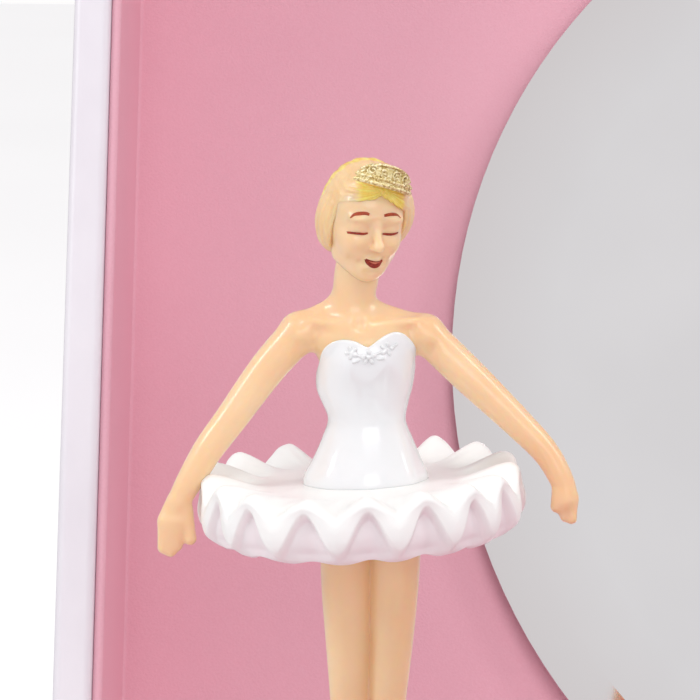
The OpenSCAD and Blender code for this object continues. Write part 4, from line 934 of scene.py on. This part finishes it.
def make_tiara():
    """Gilt half-moon comb: two bead bands, scrolls over them and a rounded crest."""
    clay = Clay((-2.8, -3.8, 1.0), (3.0, -0.4, 5.0), 0.045, HEAD_TURN, HEAD_AT)
    mid, lean = np.array([0.02, -0.05, 2.62]), turn(x=-16.0, y=14.0)
    radius, reach = 2.62, 43.0  # millimetres, and degrees to either side

    def spot(deg, up, out=0.0):
        a = math.radians(deg)
        p = np.array([(radius + out) * math.sin(a), -(radius + out) * math.cos(a), up])
        return mid + lean @ p

    crest = lambda deg: 0.28 + 0.95 * math.sqrt(max(1 - (deg / reach) ** 2, 0))
    ribs, band_beads, crest_beads, scroll_beads = 22, 25, 27, 16
    for k in range(ribs):
        deg = -reach + 2 * reach * (k + 0.5) / ribs
        clay.add(limb(spot(deg, 0.0), 0.13, spot(deg, crest(deg) - 0.12, -0.12), 0.1), 0.08)
    for row, size in ((0.02, 0.14), (0.33, 0.11)):
        for k in range(band_beads):
            deg = -reach + 2 * reach * k / (band_beads - 1)
            clay.add(ball(spot(deg, row, 0.1), size), 0.02)
    for k in range(crest_beads):
        deg = -reach * 0.98 + 1.96 * reach * k / (crest_beads - 1)
        clay.add(ball(spot(deg, crest(deg), 0.0), 0.1), 0.02)
    for middle, hand in ((-24, 1), (-8.5, -1), (8.5, 1), (24, -1)):  # scrolls
        for k in range(scroll_beads):
            t = k / (scroll_beads - 1)
            a = math.radians(hand * (40 + 420 * t))
            r = 0.3 * (1 - 0.75 * t)
            deg = middle + math.degrees(r * math.cos(a) / radius)
            clay.add(ball(spot(deg, 0.74 + r * math.sin(a), 0.12), 0.075), 0.02)
    obj, _ = clay.skin("tiara_relief", MATERIALS["tiara_gold"], rounds=0)
    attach(obj, "dancer")
    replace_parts(obj, "tiara")


def make_spring():
    """Coil under the dancer, built straight."""
    low, high = box_mm("dancer_spring")
    wire, mean, turns = 0.3, 2.2, 13
    per_turn, ring = 36, 10
    n = turns * per_turn + 1
    s = np.linspace(0, 1, n)
    ease = np.clip((s - 0.5) * 1.06 + 0.5, 0, 1)  # closed end coils
    a = s * turns * 2 * math.pi
    z = low[2] + wire + (high[2] - low[2] - 2 * wire) * ease
    centre = np.stack([FOLD[0] + mean * np.cos(a), FOLD[1] + mean * np.sin(a), z], 1)
    out = np.stack([np.cos(a), np.sin(a), 0 * a], 1)
    b = np.linspace(0, 2 * math.pi, ring, endpoint=False)
    verts = (centre[:, None, :] + wire * (np.cos(b)[None, :, None] * out[:, None, :]
                                          + np.sin(b)[None, :, None] * np.array([0, 0, 1.0])))
    obj = mesh_object("spring_coil", verts.reshape(-1, 3), tube_faces(n, ring), MATERIALS["spring_steel"])
    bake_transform(obj)
    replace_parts(obj, "dancer_spring")


make_bodice(BODY)
make_tutu()
make_tiara()
make_spring()


# ---- case, lid and their linings


def shaped(mesh, name, width, mat, body, holes=()):
    """Rounds the weighted edges of a mesh, cuts its holes and keeps its broad faces flat up to the round edges."""
    sharp = math.radians(40)
    obj = show(bpy.data.objects.new(name, mesh))
    bevel = obj.modifiers.new("round", "BEVEL")
    bevel.width, bevel.segments, bevel.limit_method = width * MM, 3, "WEIGHT"
    bevel.use_clamp_overlap = False
    for hole in holes:
        cut = obj.modifiers.new("hole", "BOOLEAN")
        cut.operation, cut.solver, cut.object = "DIFFERENCE", "EXACT", hole

    def bake():
        graph = bpy.context.evaluated_depsgraph_get()
        graph.update()
        baked = bpy.data.meshes.new_from_object(obj.evaluated_get(graph))
        obj.modifiers.clear()
        obj.data = baked

    bake()
    obj.data.polygons.foreach_set("use_smooth", [True] * len(obj.data.polygons))
    obj.data.set_sharp_from_angle(angle=sharp)
    flat = obj.modifiers.new("flat", "WEIGHTED_NORMAL")
    flat.mode, flat.weight, flat.keep_sharp = "FACE_AREA", 100, True
    bake()
    for hole in holes:
        bpy.data.objects.remove(hole)
    wear(obj, mat)
    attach(obj, body)
    return obj


def weigh_edges(shape, wanted):
    """Marks the edges to be rounded: those that wanted accepts."""
    weight = shape.edges.layers.float.new("bevel_weight_edge")
    for edge in shape.edges:
        if len(edge.link_faces) == 2 and wanted(edge):
            edge[weight] = 1.0


def softened(name, node, width, mat, body, longer_than=6.0):
    """A CAD node with its long edges rounded by a width in millimetres."""
    weld, flat, corner = 0.000002, math.radians(2), math.radians(35)  # metres, then angles between faces
    mesh = NODES[node].data.copy()
    mesh.transform(NODES[node].matrix_world)
    shape = bmesh.new()
    shape.from_mesh(mesh)
    bmesh.ops.remove_doubles(shape, verts=shape.verts, dist=weld)
    bmesh.ops.dissolve_limit(shape, angle_limit=flat, verts=shape.verts, edges=shape.edges)
    weigh_edges(shape, lambda e: e.calc_face_angle() > corner and e.calc_length() > longer_than * MM)
    shape.to_mesh(mesh)
    shape.free()
    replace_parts(shaped(mesh, name, width, mat, body), node)


def wrapped(name, nodes, closed, width, mat, body, holes=()):
    """Paper drawn over five boards as one open box, with its outer edges and its rim rounded.

    closed is the board opposite the open side. A lid is measured with its sides upright, then turned back."""
    pins = Matrix.Translation(HINGE * MM)
    turned = LID_OPEN if body == "lid" else 0.0
    level = pins @ Matrix.Rotation(math.radians(turned), 4, Vector(JOINTS["lid_hinge"]["axis"])) @ pins.inverted()

    def extent(node):
        points = np.array([level @ NODES[node].matrix_world @ v.co for v in NODES[node].data.vertices])
        return points.min(0), points.max(0)

    boxes = {node: extent(node) for node in nodes}
    low = np.min([b[0] for b in boxes.values()], 0)
    high = np.max([b[1] for b in boxes.values()], 0)
    board = float(min(boxes[closed][1] - boxes[closed][0]))
    up = boxes[closed][0][2] > low[2] + board  # the closed board is on top
    far, rim = (high[2], low[2]) if up else (low[2], high[2])
    inside = far - board if up else far + board
    corners = ((0, 0), (1, 0), (1, 1), (0, 1))
    outer = [((low, high)[i][0], (low, high)[j][1]) for i, j in corners]
    inner = [(x + (board if i == 0 else -board), y + (board if j == 0 else -board))
             for (x, y), (i, j) in zip(outer, corners)]
    verts = ([(x, y, rim) for x, y in outer] + [(x, y, far) for x, y in outer]
             + [(x, y, rim) for x, y in inner] + [(x, y, inside) for x, y in inner])
    faces = [(4, 5, 6, 7), (12, 13, 14, 15)]
    for i in range(4):
        j = (i + 1) % 4
        faces += [(i, j, 4 + j, 4 + i), (i, j, 8 + j, 8 + i), (8 + i, 8 + j, 12 + j, 12 + i)]
    mesh = bpy.data.meshes.new(name)
    mesh.from_pydata(verts, [], faces)
    shape = bmesh.new()
    shape.from_mesh(mesh)
    bmesh.ops.recalc_face_normals(shape, faces=shape.faces)
    # the upright edges inside and those of the inner floor stay square under the velour
    weigh_edges(shape, lambda e: min(v.index for v in e.verts) < 8 or {v.index // 4 for v in e.verts} == {2})
    shape.transform(level.inverted())
    shape.to_mesh(mesh)
    shape.free()
    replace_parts(shaped(mesh, name, width, mat, body, holes), *nodes)


def drill(node, wider):
    """Round cutter along Y through the back board, round a node's axis and wider than it, in millimetres."""
    low, high = box_mm(node)
    radius = ((high[0] - low[0]) / 2 + wider) * MM
    shape = bmesh.new()
    bmesh.ops.create_cone(shape, cap_ends=True, segments=64, radius1=radius, radius2=radius, depth=0.012)
    mesh = bpy.data.meshes.new("drill")
    shape.to_mesh(mesh)
    shape.free()
    obj = bpy.data.objects.new("drill", mesh)
    board_low, board_high = box_mm("case_back")
    middle = ((low[0] + high[0]) / 2, (board_low[1] + board_high[1]) / 2, (low[2] + high[2]) / 2)
    obj.matrix_world = Matrix.Translation(Vector(middle) * MM) @ Matrix.Rotation(math.radians(90), 4, "X")
    return show(obj)


def make_wraps():
    """Paper wrap over the case and the lid, velour skins inside them, and the boards of the compartments."""
    paper, cloth, board = MATERIALS["case_panel"], MATERIALS["velour"], MATERIALS["velour_board"]
    case_boards = ["case_front", "case_left", "case_right", "case_back", "case_bottom"]
    lid_boards = ["lid_top", "lid_front", "lid_left", "lid_right", "lid_back"]
    paper_round, lining_round, board_round = 0.7, 0.35, 0.4  # millimetres
    wrapped("case_wrap", case_boards, "case_bottom", paper_round, paper, "case", [drill("winding_arbor", 1.5)])
    wrapped("lid_wrap", lid_boards, "lid_top", paper_round, paper, "lid")
    softened("case_velour", "case_lining", lining_round, cloth, "case")
    softened("lid_velour", "lid_lining", lining_round, cloth, "lid")
    for node in ("stage_board", "stage_side", "stage_front", "ring_floor", "right_floor", "right_divider"):
        name = node.replace("_board", "") + "_velour"
        softened(name, node, board_round, board, "case", longer_than=12.0)


def make_rolls():
    """Foam ring rolls covered in velour: round on top, drawn in at their ends, a little uneven."""
    low, high = box_mm("ring_rolls")
    first, last = low[1], high[1]
    count, gap, end_round = 5, 0.4, 1.6
    pitch = (last - first + gap) / count
    along = np.concatenate([np.linspace(0, 1, 9) ** 2 * 0.06, np.linspace(0.065, 0.935, 60),
                            1 - (np.linspace(1, 0, 9) ** 2) * 0.06])
    x = low[0] + (high[0] - low[0]) * along
    end = np.minimum(x - low[0], high[0] - x)
    tuck = np.sqrt(np.clip(1 - (1 - np.clip(end / end_round, 0, 1)) ** 2, 0, 1))
    around = np.linspace(0, 2 * math.pi, 56, endpoint=False)
    cos, sin = np.cos(around), np.sin(around)
    # sides upright, top round, bottom flat with small round corners
    out = np.copysign(np.abs(cos) ** np.where(sin > 0, 0.72, 0.35), cos)
    up = 0.5 + 0.5 * np.copysign(np.abs(sin) ** np.where(sin > 0, 0.8, 0.35), sin)
    for k in range(count):
        y0, y1 = first + k * pitch, first + k * pitch + pitch - gap
        half = (y1 - y0) / 2
        wave = 0.06 * np.sin(x * 0.9 + k * 1.7) + 0.05 * np.sin(x * 2.3 + k)
        top = (high[2] - low[2] - 0.12) * (0.35 + 0.65 * tuck) + wave * tuck - 0.08
        wide = (half - 0.06) * (0.6 + 0.4 * tuck)
        y = (y0 + y1) / 2 + wide[:, None] * out
        z = low[2] + np.maximum(top[:, None] * up, 0.0) + 0.01
        verts = np.stack([x[:, None] + 0 * y, y, z], -1).reshape(-1, 3)
        roll = mesh_object(f"ring_roll_{k + 1}", verts, tube_faces(len(x), len(around)), MATERIALS["velour_roll"])
        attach(roll, "case")
        if k == 0:
            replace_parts(roll, "ring_rolls")


def make_mirror():
    """Finish of the silvered glass, a little greyer over its outer ring."""
    f = Finish("mirror_glass", metallic=1.0, coat_weight=0.6, coat_roughness=0.03)
    haze = f.noise(60.0)
    low, high = box_mm("mirror_glass")
    middle, radius = (low + high) / 2, (high[0] - low[0]) / 2
    out = f.node("ShaderNodeVectorMath", {0: f.coords, 1: tuple(middle * MM)}, operation="DISTANCE").outputs["Value"]
    edge = f.spread(out, 0.0, 1.0, 0.82 * radius * MM, radius * MM)
    silver = f.tones(haze, lin(237, 236, 238), lin(242, 241, 243))
    f.colour(f.mix(edge, silver, lin(230, 226, 227)))
    f.rough(f.spread(haze, 0.045, 0.075))
    MATERIALS["mirror"] = f.mat


make_wraps()
make_rolls()
make_mirror()

dress_nodes()


# ---- floor, backdrop and light


def make_stage():
    """Pale floor and soft studio light."""
    mesh = bpy.data.meshes.new("floor")
    side, glow = 3.0, 0.4  # half its width in metres, and how much it glows for the camera
    mesh.from_pydata([(-side, -side, 0), (side, -side, 0), (side, side, 0), (-side, side, 0)], [], [(0, 1, 2, 3)])
    floor = bpy.data.objects.new("floor", mesh)
    f = Finish("floor", roughness=0.9, specular_ior_level=0.1, emission_color=(1.0, 1.0, 1.0, 1.0))
    f.colour(f.tones(f.noise(3.0), lin(238, 237, 239), lin(242, 241, 243)))
    seen = f.node("ShaderNodeLightPath").outputs["Is Camera Ray"]
    f.tree.links.new(f.maths("MULTIPLY", seen, glow), f.bsdf.inputs["Emission Strength"])
    mesh.materials.append(f.mat)
    show(floor)

    # white seen directly, a softer white in gloss, and a softer one still as light
    light_level, more_seen, more_in_gloss = 0.58, 0.42, 0.2
    world = bpy.context.scene.world = bpy.data.worlds.new("world")
    sky = Nodes(world)
    path = sky.node("ShaderNodeLightPath")
    level = light_level
    for ray, more in (("Is Camera Ray", more_seen), ("Is Glossy Ray", more_in_gloss)):
        links = {0: path.outputs[ray], 1: more, 2: level}
        level = sky.node("ShaderNodeMath", links, operation="MULTIPLY_ADD").outputs[0]
    back = sky.tree.nodes["Background"]
    back.inputs["Color"].default_value = (1.0, 0.985, 0.985, 1.0)
    sky.tree.links.new(level, back.inputs["Strength"])

    def soft_box(name, at_mm, towards_mm, size_mm, watts):
        light = bpy.data.lights.new(name, "AREA")
        light.energy = watts
        light.shape = "RECTANGLE"
        light.size, light.size_y = size_mm[0] * MM, size_mm[1] * MM
        obj = bpy.data.objects.new(name, light)
        obj.location = Vector(at_mm) * MM
        obj.rotation_euler = (Vector(towards_mm) - Vector(at_mm)).to_track_quat("-Z", "Y").to_euler()
        show(obj)

    def around(middle, side, up, distance):
        """Point at a distance from middle, side degrees to the right of the front and up degrees above level."""
        side, up = math.radians(side), math.radians(up)
        way = np.array([math.sin(side) * math.cos(up), -math.cos(side) * math.cos(up), math.sin(up)])
        return tuple(np.array(middle) + distance * way)

    target = (-40.0, 20.0, 95.0)
    soft_box("key", (30, -330, 830), target, (320, 280), 1.5)
    soft_box("left_window", around(target, -78, 36, 620), target, (120, 240), 0.95)
    soft_box("right_window", around(target, 82, 36, 620), target, (100, 240), 0.6)
    soft_box("fill", around(target, 8, 15, 720), target, (480, 240), 0.85)


make_stage()
